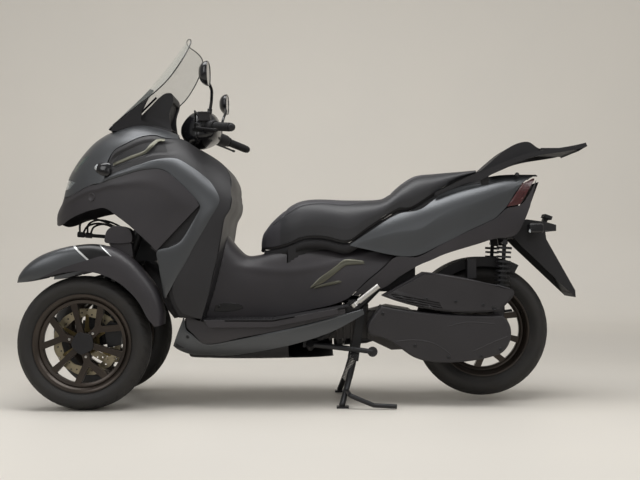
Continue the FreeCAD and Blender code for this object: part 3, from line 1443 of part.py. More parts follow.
# Stands
def centre_stand():
    pieces = []
    knee_x = stand_pivot_x - 20
    near = stand_ear_y + 10 + fit
    for side in (-1, 1):
        pieces.append(tube(vec(stand_pivot_x, side * near, stand_pivot_z),
                           vec(stand_pivot_x, side * (near + 30), stand_pivot_z), 16, 10 + fit))
        top = vec(stand_pivot_x - 3, side * (near + 15), stand_pivot_z - 14)
        knee = vec(knee_x, side * 126, 110)
        foot = vec(stand_foot_x, side * stand_half_w, 14)
        pieces += [cylinder(top, knee, 13), cylinder(knee, foot, 12), Part.makeSphere(13, knee)]
        pieces.append(block(stand_foot_x - 22, stand_foot_x + 26, side * stand_half_w - 16,
                            side * stand_half_w + 16, 0, 8))
        pieces.append(Part.makeSphere(12.5, foot))
    pieces.append(cylinder(vec(knee_x, -126, 110), vec(knee_x, 126, 110), 9))
    y = -stand_half_w - 34
    pieces.append(bent_tube([(stand_pivot_x - 30, -stand_half_w + 30, 62),
                             (stand_pivot_x - 20, y, 54), (262, y, 16), (352, y, 12)], 9, 14))
    body = fuse(pieces)
    return body.cut(cylinder(vec(stand_pivot_x, -200, stand_pivot_z),
                             vec(stand_pivot_x, 200, stand_pivot_z), 10 + fit))


side_pivot_x = 12.0
side_pivot_y = -152.0
side_pivot_z = 246.0
side_tilt = 0.5


# Point on the side stand's hinge line, which leans so that the stand swings outward
def side_hinge(reach):
    lean = math.hypot(1, side_tilt)
    return vec(side_pivot_x, side_pivot_y + reach / lean, side_pivot_z - reach * side_tilt / lean)


def side_stand():
    start = side_hinge(0)
    knee = start.add(vec(150, -24, -14))
    foot = start.add(vec(248, -34, -26))
    return fuse([cylinder(side_hinge(-14), side_hinge(14), 17), cylinder(start, knee, 11),
                 cylinder(knee, foot, 10), Part.makeSphere(11, knee),
                 Part.makeCylinder(20, 8, foot.add(vec(0, -4, 0)), vec(0, 1, 0))])


def side_stand_bracket():
    return fuse([block(side_pivot_x - 30, side_pivot_x + 30, side_pivot_y + 22, -rail_y, 232, 258),
                 cylinder(side_hinge(14 + fit), side_hinge(30), 16)])


def write(name, shape):
    shape.exportStep("parts/" + name + ".step")


def build():
    left = front_axle(-1)
    right = front_axle(1)
    rear = rear_axle()
    parts = {
        "main_frame": fuse([main_frame()] + [side_stand_bracket()] + peg_brackets().Solids),
        "lean_arms": group([lean_arm(kingpin_low_z + 26), lean_arm(kingpin_high_z - 26)]),
        "side_brackets": group([side_bracket(-1), side_bracket(1)]),
        "engine_block": engine_block(),
        "transmission_case": transmission_case(),
        "air_cleaner": air_cleaner(),
        "swing_arm": swing_arm(),
        "muffler": muffler(),
        "rear_shocks": rear_shocks(),
        "rear_hugger": rear_hugger(),
        "radiator": radiator(),
        "front_cowl": front_cowl(),
        "leg_shield_trims": leg_shield_trims(),
        "side_panels": side_panels(),
        "leg_shield": leg_shield(),
        "dash_panel": dash_panel(),
        "windscreen": windscreen(),
        "windscreen_bracket": windscreen_bracket(),
        "front_lamps": front_lamps(),
        "accent_trims": accent_trims(),
        "centre_tunnel": centre_tunnel(),
        "footboards": footboards(),
        "lower_skirts": lower_skirts(),
        "belly_pan": belly_pan(),
        "storage_tub": storage_tub(),
        "tail_covers": tail_covers(),
        "tail_lower": tail_lower(),
        "tail_deck": tail_deck(),
        "tail_lamp": tail_lamp(),
        "plate_holder": plate_holder(),
        "rear_indicators": rear_indicators(),
        "grab_rails": grab_rails(),
        "seat_pad": seat_pad(),
        "seat_pan": seat_pan(),
        "peg_left": peg(-1),
        "peg_right": peg(1),
        "centre_stand": centre_stand(),
        "side_stand": side_stand(),
        "handlebar": handlebar(),
        "handlebar_cover": handlebar_cover(),
        "hand_controls": hand_controls(),
        "mirrors": mirrors(),
        "fork_left": fork(-1),
        "fork_right": fork(1),
        "fender_left": fender(-1),
        "fender_right": fender(1),
        "tyre_left": tyre(left, front_tyre_r, front_tyre_w, front_rim_w),
        "tyre_right": tyre(right, front_tyre_r, front_tyre_w, front_rim_w),
        "tyre_rear": tyre(rear, rear_tyre_r, rear_tyre_w, rear_rim_w),
        "rim_left": rim(left, front_rim_w, 36, front_spindle_r, -1),
        "rim_right": rim(right, front_rim_w, 36, front_spindle_r, 1),
        "rim_rear": rim(rear, rear_rim_w, 84, rear_spindle_r, -1),
        "disc_left": brake_disc(left, front_disc_y(-1), front_disc_r),
        "disc_right": brake_disc(right, front_disc_y(1) - disc_t, front_disc_r),
        "disc_rear": brake_disc(rear, rear_disc_y(), rear_disc_r),
    }
    for name, shape in parts.items():
        write(name, shape)
        solids = shape.Solids
        box = shape.BoundBox
        print(name, len(solids), shape.isValid(), round(shape.Volume / 1000),
              [round(v) for v in (box.XMin, box.XMax, box.YMin, box.YMax, box.ZMin, box.ZMax)])


os.makedirs("parts", exist_ok=True)
build()
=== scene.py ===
import json
import math

import bmesh
import bpy
import numpy as np
from mathutils.bvhtree import BVHTree
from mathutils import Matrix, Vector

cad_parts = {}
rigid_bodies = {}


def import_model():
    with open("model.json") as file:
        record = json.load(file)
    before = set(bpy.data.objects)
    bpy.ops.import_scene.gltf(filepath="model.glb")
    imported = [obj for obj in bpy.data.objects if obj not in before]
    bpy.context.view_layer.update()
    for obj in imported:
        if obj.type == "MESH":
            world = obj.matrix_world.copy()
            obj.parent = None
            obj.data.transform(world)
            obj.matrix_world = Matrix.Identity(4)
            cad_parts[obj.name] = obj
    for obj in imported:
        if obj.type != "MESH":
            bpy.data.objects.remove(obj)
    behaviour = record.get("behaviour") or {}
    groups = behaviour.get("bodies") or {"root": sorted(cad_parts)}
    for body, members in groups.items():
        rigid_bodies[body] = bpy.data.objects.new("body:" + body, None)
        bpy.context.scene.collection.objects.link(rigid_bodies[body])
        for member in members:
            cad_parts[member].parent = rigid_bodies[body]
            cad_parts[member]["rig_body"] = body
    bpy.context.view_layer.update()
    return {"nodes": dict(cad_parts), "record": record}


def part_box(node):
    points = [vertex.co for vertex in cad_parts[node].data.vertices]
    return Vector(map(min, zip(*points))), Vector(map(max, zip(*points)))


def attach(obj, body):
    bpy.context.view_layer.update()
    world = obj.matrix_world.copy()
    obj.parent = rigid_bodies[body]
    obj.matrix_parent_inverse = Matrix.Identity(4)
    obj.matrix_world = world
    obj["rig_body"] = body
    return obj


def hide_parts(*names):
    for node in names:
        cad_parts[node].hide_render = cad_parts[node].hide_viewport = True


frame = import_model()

mm = 0.001
nodes = frame["nodes"]
print("frame loaded:", len(nodes), "nodes")


# smooth value of a table of (place, value) pairs: every stretch is a cubic, and its slope
# at a point is that of the chord between the point's two neighbours
def tableAt(table, place):
    points = np.asarray(table, float)
    xs, vs = points[:, 0], points[:, 1]
    slopes = np.empty(len(xs))
    slopes[1:-1] = (vs[2:] - vs[:-2]) / (xs[2:] - xs[:-2])
    slopes[0] = (vs[1] - vs[0]) / (xs[1] - xs[0])
    slopes[-1] = (vs[-1] - vs[-2]) / (xs[-1] - xs[-2])
    place = np.clip(place, xs[0], xs[-1])
    i = np.clip(np.searchsorted(xs, place, side="right") - 1, 0, len(xs) - 2)
    span = xs[i + 1] - xs[i]
    t = (place - xs[i]) / span
    return ((2 * t**3 - 3 * t**2 + 1) * vs[i] + (t**3 - 2 * t**2 + t) * span * slopes[i]
            + (3 * t**2 - 2 * t**3) * vs[i + 1] + (t**3 - t**2) * span * slopes[i + 1])


# distance walked along a row of points
def reachOf(points):
    steps = np.linalg.norm(np.diff(points, axis=0), axis=-1)
    return np.concatenate([[0.0], np.cumsum(np.maximum(steps, 1e-6))])


# smooth line through a few points, in even steps: each coordinate is a table over the
# distance walked
def softLine(points, count):
    points = np.asarray(points, float)
    reach = reachOf(points)
    goal = np.linspace(0, reach[-1], count)
    return np.stack([tableAt(np.c_[reach, points[:, c]], goal) for c in range(points.shape[1])], -1)


# every row of a grid picked again at even distances along that row
def respace(grid, count):
    steps = np.linalg.norm(np.diff(grid, axis=1), axis=2)
    reach = np.concatenate([np.zeros((len(grid), 1)), np.cumsum(steps, 1)], 1)
    share = reach / np.maximum(reach[:, -1:], 1e-9)
    goal = np.linspace(0, 1, count)
    rows = np.arange(len(grid))[:, None]
    k = (share[:, None, :] <= goal[None, :, None]).sum(2) - 1
    k = np.clip(k, 0, grid.shape[1] - 2)
    a, b = share[rows, k], share[rows, k + 1]
    t = np.clip((goal - a) / np.maximum(b - a, 1e-12), 0, 1)[..., None]
    return grid[rows, k] * (1 - t) + grid[rows, k + 1] * t


# outline with each corner turned into a short parabola, `cut` millimetres from the corner
def roundCorners(points, cut, steps=5):
    p = np.asarray(points, float)
    before, after = np.roll(p, 1, 0), np.roll(p, -1, 0)
    lengthA = np.linalg.norm(before - p, axis=1, keepdims=True)
    lengthB = np.linalg.norm(after - p, axis=1, keepdims=True)
    a = p + (before - p) / lengthA * np.minimum(cut, lengthA * 0.45)
    b = p + (after - p) / lengthB * np.minimum(cut, lengthB * 0.45)
    t = np.linspace(0, 1, steps)[None, :, None]
    arc = (1 - t) ** 2 * a[:, None] + 2 * t * (1 - t) * p[:, None] + t**2 * b[:, None]
    return arc.reshape(-1, p.shape[1])


# path of straight runs whose inner corners are short parabolas
def bentLine(points, cut, steps=6):
    p = np.asarray(points, float)
    bends = roundCorners(p, cut, steps).reshape(len(p), steps, -1)[1:-1].reshape(-1, p.shape[1])
    return np.concatenate([p[:1], bends, p[-1:]])


# rises from 0 at the first edge to 1 at the second, level at both
def smoothStep(low, high, value):
    t = np.clip((value - low) / (high - low), 0, 1)
    return t * t * (3 - 2 * t)


# 1 along a row of points, falling to 0 over the given counts at its two ends
def fadedEnds(count, first, last):
    k = np.arange(count)
    return smoothStep(0, first, k) * smoothStep(0, last, k[::-1])


# power of a value that keeps its sign
def signedPower(value, power):
    return np.sign(value) * np.abs(value) ** power


# grid of points from coordinates that vary down the rows, along the columns or both
def gridOf(x, y, z):
    return np.stack(np.broadcast_arrays(x, y, z), -1)


# the body's forms: lowest, widest and highest level and half width at each station

cowlForm = {
    "low": [(-1050, 737), (-1044, 722), (-1030, 705), (-990, 680), (-920, 640), (-800, 600),
            (-700, 540), (-600, 400), (-500, 200), (-420, 185), (-280, 185)],
    "mid": [(-1050, 742), (-1010, 765), (-960, 795), (-870, 820), (-700, 830), (-600, 800),
            (-500, 760), (-400, 720), (-280, 700)],
    "top": [(-1050, 750), (-1046, 770), (-1040, 790), (-1010, 846), (-990, 930), (-960, 985),
            (-920, 1037), (-870, 1085), (-800, 1122), (-700, 1150), (-600, 1138), (-500, 1100),
            (-420, 1052), (-340, 1000), (-280, 960)],
    "half": [(-1050, 5), (-1046, 26), (-1040, 46), (-1010, 88), (-960, 132), (-920, 158),
             (-870, 184), (-800, 214), (-700, 246), (-600, 270), (-500, 284), (-420, 290),
             (-340, 280), (-280, 262)],
    "fullTop": 2.5, "fullLow": 5.0,
}
tunnelForm = {
    "low": [(-520, 300), (-100, 300), (400, 330)],
    "mid": [(-520, 420), (-100, 430), (400, 470)],
    "top": [(-520, 760), (-400, 716), (-339, 690), (-290, 634), (-254, 604), (-200, 606),
            (-136, 626), (-71, 644), (14, 660), (165, 652), (400, 640)],
    "half": [(-520, 190), (-440, 160), (-360, 132), (-250, 112), (-100, 112), (0, 128),
             (150, 146), (300, 158), (400, 162)],
    "fullTop": 3.2, "fullLow": 5.0,
}
skirtForm = {
    "low": [(-530, 196), (-450, 184), (-100, 182), (150, 196), (260, 242)],
    "mid": [(-530, 320), (-100, 330), (260, 380)],
    "top": [(-530, 480), (260, 500)],
    "half": [(-530, 232), (-470, 252), (-380, 264), (-200, 268), (0, 258), (150, 238), (260, 214)],
    "fullTop": 6.0, "fullLow": 2.8,
}
tailForm = {
    "low": [(150, 350), (440, 430), (640, 540), (760, 600), (850, 620), (950, 670)],
    "mid": [(150, 590), (440, 650), (640, 740), (800, 810), (950, 880)],
    "top": [(150, 720), (376, 812), (520, 862), (640, 902), (788, 936), (950, 940)],
    "half": [(150, 156), (300, 166), (440, 168), (640, 160), (800, 140), (900, 118), (950, 100)],
    "fullTop": 3.4, "fullLow": 4.0,
}


# lowest, widest and highest level and half width of a form at a station
def levels(form, x):
    return [tableAt(form[key], x) for key in ("low", "mid", "top", "half")]


# power and span of the form's upper or lower half
def powersAt(form, above, low, mid, top):
    return (np.where(above, form["fullTop"], form["fullLow"]),
            np.where(above, top - mid, mid - low))


# half width at a station and height:
# half * (1 - (distance from the widest level / span) ^ n) ^ (1 / n)
def formWidth(form, x, z):
    low, mid, top, half = levels(form, x)
    power, span = powersAt(form, z > mid, low, mid, top)
    ratio = np.minimum(np.abs(z - mid) / span, 1.0)
    return half * (1 - ratio**power) ** (1 / power)


# height of the form's upper surface at a station and a distance from the middle
def formTop(form, x, y):
    low, mid, top, half = levels(form, x)
    power = form["fullTop"]
    ratio = np.minimum(np.abs(y) / half, 1.0)
    return mid + (top - mid) * (1 - ratio**power) ** (1 / power)


# point round a station: the angle is 0 at the left, 90 degrees on top, -90 underneath
def formPoint(form, x, angle):
    low, mid, top, half = levels(form, x)
    c, s = np.cos(angle), np.sin(angle)
    power, span = powersAt(form, s > 0, low, mid, top)
    return gridOf(x + 0 * c, -half * signedPower(c, 2 / power),
                  mid + span * signedPower(s, 2 / power))


# angle of a side point at a station and height: arcsin(ratio ^ (power / 2))
def angleAt(form, x, z):
    low, mid, top, half = levels(form, x)
    power, span = powersAt(form, z > mid, low, mid, top)
    ratio = np.minimum(np.abs(z - mid) / span, 1.0)
    return np.sign(z - mid) * np.arcsin(ratio ** (power / 2))


# station of a form's side where it has a given width at a given height, by halving
def stationAt(form, width, z, near, far):
    a, b = near + 0 * z, far + 0 * z
    for _ in range(30):
        middle = (a + b) / 2
        wide = formWidth(form, middle, z) > width
        b = np.where(wide, middle, b)
        a = np.where(wide, a, middle)
    return (a + b) / 2


# left side of a form between two edges: ribs run from the lower to the upper edge and are
# spread evenly along the panel, and y is the form's width at each point
def sideGrid(form, ribs, count, across):
    ribs = np.asarray(ribs, float)
    steps = np.linalg.norm(np.diff(ribs, axis=0), axis=2).max(1)
    reach = np.concatenate([[0], np.cumsum(np.maximum(steps, 1.0))])
    goal = np.linspace(0, reach[-1], count)
    low, high = [np.stack([tableAt(np.c_[reach, ribs[:, k, c]], goal) for c in (0, 1)], -1)
                 for k in (0, 1)]
    share = np.linspace(0, 1, 61)[None, :, None]
    flat = low[:, None] * (1 - share) + high[:, None] * share
    y = -formWidth(form, flat[..., 0], flat[..., 1])
    return respace(np.stack([flat[..., 0], y, flat[..., 1]], -1), across)


# strip across a form from its left edge line to the right one, over the top or underneath
def wrapGrid(form, edge, count, across, over=True):
    line = softLine(edge, count)
    start = angleAt(form, line[:, 0], line[:, 1])
    stop = math.pi - start if over else -math.pi - start
    share = np.linspace(0, 1, 241)
    angle = start[:, None] + (stop - start)[:, None] * share
    return respace(formPoint(form, line[:, :1], angle), across)


# unit normals of a grid: the cross product of its steps along rows and columns
def normalsOf(grid):
    n = np.cross(np.gradient(grid, axis=0), np.gradient(grid, axis=1))
    return n / np.maximum(np.linalg.norm(n, axis=2, keepdims=True), 1e-9)


# grid moved outward along its own normals, outward being away from the body's middle line
def lifted(grid, amount, form):
    n = normalsOf(grid)
    inner = np.stack([grid[..., 0] + 120, 0 * grid[..., 1], levels(form, grid[..., 0])[1]], -1)
    sign = np.sign((n * (grid - inner)).sum(-1, keepdims=True))
    return grid + n * sign * (amount[..., None] if isinstance(amount, np.ndarray) else amount)


# part of a mesh, which is always (points in mm, faces, uv in metres): here a sheet of quads
# over a grid of points, with u and v the distances along its middle row and column
def sheetPart(grid):
    rows, columns = grid.shape[:2]
    index = np.arange(rows * columns).reshape(rows, columns)
    quads = np.stack([index[:-1, :-1], index[1:, :-1], index[1:, 1:], index[:-1, 1:]], -1)
    along = reachOf(grid[:, columns // 2]) * mm
    across = reachOf(grid[rows // 2]) * mm
    uv = np.stack(np.meshgrid(along, across, indexing="ij"), -1)
    return grid.reshape(-1, 3), quads.reshape(-1, 4), uv.reshape(-1, 2)


# the sheet with its faces turned so that they look away from `inner`
def faceOut(part, inner):
    v, f, uv = part
    a = v[f[:, 0]]
    n = np.cross(v[f[:, 2]] - a, v[f[:, 3]] - v[f[:, 1]])
    centre = v[f].mean(1)
    if (n * (centre - inner(centre))).sum() < 0:
        f = f[:, ::-1]
    return v, f, uv


# point inside a form beside each given point
def bodyInner(form):
    return lambda p: np.stack([p[:, 0] + 120, 0 * p[:, 0], levels(form, p[:, 0])[1]], -1)


# part mirrored to the other side, its faces turned round
def mirrorPart(part):
    v, f, uv = part
    flipped = [face[::-1] for face in f] if isinstance(f, list) else f[:, ::-1]
    return v * [1, -1, 1], flipped, uv


# parts with their mirror images
def bothSides(*parts):
    return [p for part in parts for p in (part, mirrorPart(part))]


# which points lie inside an outline, by the even-odd rule
def inOutline(points, outline):
    a = np.asarray(outline, float)
    b = np.roll(a, -1, 0)
    u, v = points[:, None, 0], points[:, None, 1]
    crosses = (a[:, 1] > v) != (b[:, 1] > v)
    rise = np.where(b[:, 1] == a[:, 1], 1e-9, b[:, 1] - a[:, 1])
    at = a[:, 0] + (v - a[:, 1]) / rise * (b[:, 0] - a[:, 0])
    return (crosses & (u < at)).sum(-1) % 2 == 1


# nearest point of an outline to each given point
def nearestOn(points, outline):
    a = np.asarray(outline, float)
    d = np.roll(a, -1, 0) - a
    t = ((points[:, None] - a) * d).sum(-1) / np.maximum((d * d).sum(-1), 1e-12)
    on = a + np.clip(t, 0, 1)[..., None] * d
    best = np.linalg.norm(points[:, None] - on, axis=2).argmin(1)
    return on[np.arange(len(points)), best]


# one side of an outline cut from a sheet: `flat` gives the points as seen by the outline, and
# `back` puts a point that was moved onto the outline back on the surface
def trim(part, outline, flat, back, inside=False):
    v, f, uv = part
    within = inOutline(flat(v[f].mean(1)), outline)
    keep = within if inside else ~within
    edge = np.intersect1d(f[keep].ravel(), f[~keep].ravel())
    v = v.copy()
    if len(edge):
        v[edge] = back(v[edge], nearestOn(flat(v[edge]), outline))
    return v, f[keep], uv


# -1 for points on the left, 1 on the right
def sideOf(p):
    return np.where(p[:, 1] > 0, 1, -1)


# points as seen from the side, and put back on a form's side or left at their own y
def fromSide(p):
    return p[:, [0, 2]]


def toSide(form):
    def back(p, flat):
        return gridOf(flat[:, 0], sideOf(p) * formWidth(form, flat[:, 0], flat[:, 1]), flat[:, 1])
    return back


def sameY(p, flat):
    return gridOf(flat[:, 0], p[:, 1], flat[:, 1])


# points as seen from above, and put back on a form's upper surface
def fromAbove(p):
    return np.stack([p[:, 0], np.abs(p[:, 1])], -1)


def toAbove(form):
    def back(p, flat):
        return gridOf(flat[:, 0], sideOf(p) * flat[:, 1], formTop(form, flat[:, 0], flat[:, 1]))
    return back


# prism along y between two copies of an outline given as (x, z)
def prismPart(outline, y0, y1):
    o = np.asarray(outline, float)
    n = len(o)
    v = np.concatenate([np.stack([o[:, 0], np.full(n, y), o[:, 1]], -1) for y in (y0, y1)])
    i = np.arange(n)
    j = (i + 1) % n
    quads = np.stack([i, j, j + n, i + n], -1).tolist()
    return v, quads + [i[::-1].tolist(), (i + n).tolist()], np.zeros((2 * n, 2))


# frame of directions round an axis
def acrossAxis(axis):
    axis = np.asarray(axis, float) / np.linalg.norm(axis)
    side = np.cross(axis, [0, 0, 1] if abs(axis[2]) < 0.9 else [1, 0, 0])
    side /= np.linalg.norm(side)
    return axis, side, np.cross(axis, side)


# profile of (radius, place along the axis) turned about an axis:
# centre + place * axis + radius * turn
def lathePart(profile, centre, axis, count=48):
    p = np.asarray(profile, float)
    axis, u, w = acrossAxis(axis)
    turn = np.linspace(0, 2 * math.pi, count + 1)[:, None, None]
    grid = (np.asarray(centre, float) + p[None, :, 1:] * axis
            + p[None, :, :1] * (np.cos(turn) * u + np.sin(turn) * w))
    return sheetPart(grid)


# round or oval section carried along a path, closed at both ends
def pipePart(path, radius, sides=14, up=(0, 0, 1), flatness=1.0):
    path = np.asarray(path, float)
    radius = np.broadcast_to(radius, len(path)).astype(float)
    along = np.gradient(path, axis=0)
    along /= np.linalg.norm(along, axis=1, keepdims=True)
    u = np.cross(along, up)
    u /= np.maximum(np.linalg.norm(u, axis=1, keepdims=True), 1e-9)
    w = np.cross(u, along)
    path = np.concatenate([path[:1], path, path[-1:]])
    u, w = [np.concatenate([d[:1], d, d[-1:]]) for d in (u, w)]
    radius = np.concatenate([[0], radius, [0]])
    turn = np.linspace(0, 2 * math.pi, sides + 1)
    ring = (np.cos(turn)[None, :, None] * u[:, None]
            + flatness * np.sin(turn)[None, :, None] * w[:, None])
    return sheetPart(path[:, None] + radius[:, None, None] * ring)


# box with its centre and sizes, turned about y by an angle in degrees
def boxPart(centre, size, turn=0.0):
    x, y, z = [s / 2 for s in size]
    corners = np.array([(a * x, b * y, c * z) for a in (-1, 1) for b in (-1, 1) for c in (-1, 1)])
    a = math.radians(turn)
    rotated = np.stack([corners[:, 0] * math.cos(a) - corners[:, 2] * math.sin(a), corners[:, 1],
                        corners[:, 0] * math.sin(a) + corners[:, 2] * math.cos(a)], -1)
    faces = [[0, 1, 3, 2], [4, 6, 7, 5], [0, 4, 5, 1], [2, 3, 7, 6], [0, 2, 6, 4], [1, 5, 7, 3]]
    return rotated + np.asarray(centre, float), faces, np.zeros((8, 2))


# screw head: a low dome with a round sunk middle
def screwPart(place, axis, radius=5.0, height=2.6):
    profile = [(0, height * 0.2), (radius * 0.42, height * 0.2), (radius * 0.5, height),
               (radius * 0.8, height * 0.92), (radius, height * 0.4), (radius, -1.5), (0, -1.5)]
    return lathePart(profile, place, axis, 12)


# sRGB hex code as the linear colour that a shader takes
def tint(code):
    c = np.array([int(code[i:i + 2], 16) for i in (1, 3, 5)]) / 255
    c = np.where(c <= 0.04045, c / 12.92, ((c + 0.055) / 1.055) ** 2.4)
    return (float(c[0]), float(c[1]), float(c[2]), 1.0)


# sets a node's inputs by name or number: sockets are linked, other values are written in
def setInputs(tree, node, inputs):
    for key, value in inputs.items():
        if isinstance(value, bpy.types.NodeSocket):
            tree.links.new(value, node.inputs[key])
        else:
            node.inputs[key].default_value = value


# adds a node: settings are its properties, and its outputs come back
def addNode(tree, kind, inputs, **settings):
    node = tree.nodes.new(kind)
    for key, value in settings.items():
        setattr(node, key, value)
    setInputs(tree, node, inputs)
    return node.outputs


# empty material, its shader and the place on the piece that its patterns are laid over
def newMaterial(name):
    material = bpy.data.materials.new(name)
    material.use_nodes = True
    tree = material.node_tree
    place = addNode(tree, "ShaderNodeTexCoord", {})["Object"]
    return material, tree, tree.nodes["Principled BSDF"], place


# slow noise over a piece, and a roughness that wanders with it between two values
def wander(tree, place, scale, low, high):
    slow = addNode(tree, "ShaderNodeTexNoise",
                   {"Vector": place, "Scale": scale, "Detail": 3.0})["Fac"]
    rough = addNode(tree, "ShaderNodeMapRange", {"Value": slow, "From Min": 0.3, "From Max": 0.7,
                                                 "To Min": low, "To Max": high})["Result"]
    return slow, rough


# colour that drifts between two tints with the slow noise
def drifting(tree, slow, colour, drift):
    share = addNode(tree, "ShaderNodeMapRange",
                    {"Value": slow, "From Min": 0.3, "From Max": 0.7})["Result"]
    return addNode(tree, "ShaderNodeMix", {0: share, 6: tint(colour), 7: tint(drift)},
                   data_type="RGBA")[2]


# finish with slow colour drift, a roughness that wanders, and fine grain in the surface;
# grain is (scale, strength, depth in metres), and a scale of 1000 makes grains about 1 mm wide
def plainFinish(name, colour, drift, roughness, metal=0.0, grain=(900, 0.10, 0.0002), coat=0.0,
                driftScale=6.0, specular=0.5):
    material, tree, shader, place = newMaterial(name)
    slow, rough = wander(tree, place, driftScale, *roughness)
    fine = addNode(tree, "ShaderNodeTexNoise", {"Vector": place, "Scale": float(grain[0]),
                                                "Detail": 4.0, "Roughness": 0.6})["Fac"]
    bump = addNode(tree, "ShaderNodeBump",
                   {"Height": fine, "Strength": grain[1], "Distance": grain[2]})["Normal"]
    setInputs(tree, shader, {"Base Color": drifting(tree, slow, colour, drift),
                             "Roughness": rough, "Normal": bump, "Metallic": metal,
                             "Coat Weight": coat, "Coat Roughness": 0.2,
                             "Specular IOR Level": specular})
    return material


# band across the mudguards, where x + slope * z lies between two values in metres, and the
# half widths of the pale lines along its ends
band = {"slope": 1.139, "first": -0.1763, "last": -0.0725, "lines": (0.0052, 0.0022),
        "colour": "#161617", "lineColour": "#c9cbca"}


# satin metallic paint: flakes of slightly different brightness under a soft clear coat, 0.4 mm
# wide, coarser than real ones so that they show; with patch, a dark band between two slanted
# pale lines, as on the mudguards
def satinPaint(name, colour, flake, patch=False):
    material, tree, shader, place = newMaterial(name)
    cells = addNode(tree, "ShaderNodeTexVoronoi", {"Vector": place, "Scale": 2600.0})["Distance"]
    base = addNode(tree, "ShaderNodeMix", {0: cells, 6: tint(colour), 7: tint(flake)},
                   data_type="RGBA")[2]
    if patch:
        first, last = band["first"], band["last"]
        marks = [((first + last) / 2, (last - first) / 2, band["colour"]),
                 (first, band["lines"][0], band["lineColour"]),
                 (last, band["lines"][1], band["lineColour"])]
        axes = addNode(tree, "ShaderNodeSeparateXYZ", {"Vector": place})
        slant = addNode(tree, "ShaderNodeMath", {0: axes["Z"], 1: band["slope"], 2: axes["X"]},
                        operation="MULTIPLY_ADD")[0]
        for at, half, shade in marks:
            within = addNode(tree, "ShaderNodeMath", {0: slant, 1: at, 2: half},
                             operation="COMPARE")[0]
            base = addNode(tree, "ShaderNodeMix", {0: within, 6: base, 7: tint(shade)},
                           data_type="RGBA")[2]
    rough = wander(tree, place, 3.0, 0.31, 0.36)[1]
    bump = addNode(tree, "ShaderNodeBump",
                   {"Height": cells, "Strength": 0.03, "Distance": 0.0002})["Normal"]
    setInputs(tree, shader, {"Base Color": base, "Roughness": rough, "Normal": bump,
                             "Metallic": 0.62, "Coat Weight": 0.25, "Coat Roughness": 0.34})
    return material


# grained vinyl: small rounded cells 1.6 mm wide that touch, each a little different in height
def seatVinyl(name, colour, drift):
    material, tree, shader, place = newMaterial(name)
    cells = addNode(tree, "ShaderNodeTexVoronoi",
                    {"Vector": place, "Scale": 620.0, "Smoothness": 0.7},
                    feature="SMOOTH_F1")["Distance"]
    slow, rough = wander(tree, place, 9.0, 0.50, 0.60)
    bump = addNode(tree, "ShaderNodeBump",
                   {"Height": cells, "Strength": 0.35, "Distance": 0.0006})["Normal"]
    setInputs(tree, shader, {"Base Color": drifting(tree, slow, colour, drift),
                             "Roughness": rough, "Normal": bump, "Sheen Weight": 0.12,
                             "Sheen Roughness": 0.4})
    return material


# clear moulded plastic with a faint tint
def clearFinish(name, colour, drift, roughness, alpha):
    material, tree, shader, place = newMaterial(name)
    slow, rough = wander(tree, place, 5.0, roughness, roughness + 0.03)
    base = addNode(tree, "ShaderNodeMix", {0: slow, 6: tint(colour), 7: tint(drift)},
                   data_type="RGBA")[2]
    setInputs(tree, shader, {"Base Color": base, "Roughness": rough, "Alpha": alpha, "IOR": 1.49,
                             "Coat Weight": 0.4})
    material.surface_render_method = "BLENDED"
    return material


# coloured lamp lens: prisms 3.5 mm apart behind a glossy skin
def lensFinish(name, colour, deep):
    material, tree, shader, place = newMaterial(name)
    ribs = addNode(tree, "ShaderNodeTexWave", {"Vector": place, "Scale": 90.0},
                   bands_direction="Z")["Fac"]
    base = addNode(tree, "ShaderNodeMix", {0: ribs, 6: tint(colour), 7: tint(deep)},
                   data_type="RGBA")[2]
    slow = addNode(tree, "ShaderNodeTexNoise",
                   {"Vector": place, "Scale": 8.0, "Detail": 3.0})["Fac"]
    rough = addNode(tree, "ShaderNodeMapRange",
                    {"Value": slow, "To Min": 0.06, "To Max": 0.12})["Result"]
    bump = addNode(tree, "ShaderNodeBump",
                   {"Height": ribs, "Strength": 0.25, "Distance": 0.0006})["Normal"]
    setInputs(tree, shader, {"Base Color": base, "Roughness": rough, "Normal": bump,
                             "Coat Weight": 0.8})
    return material


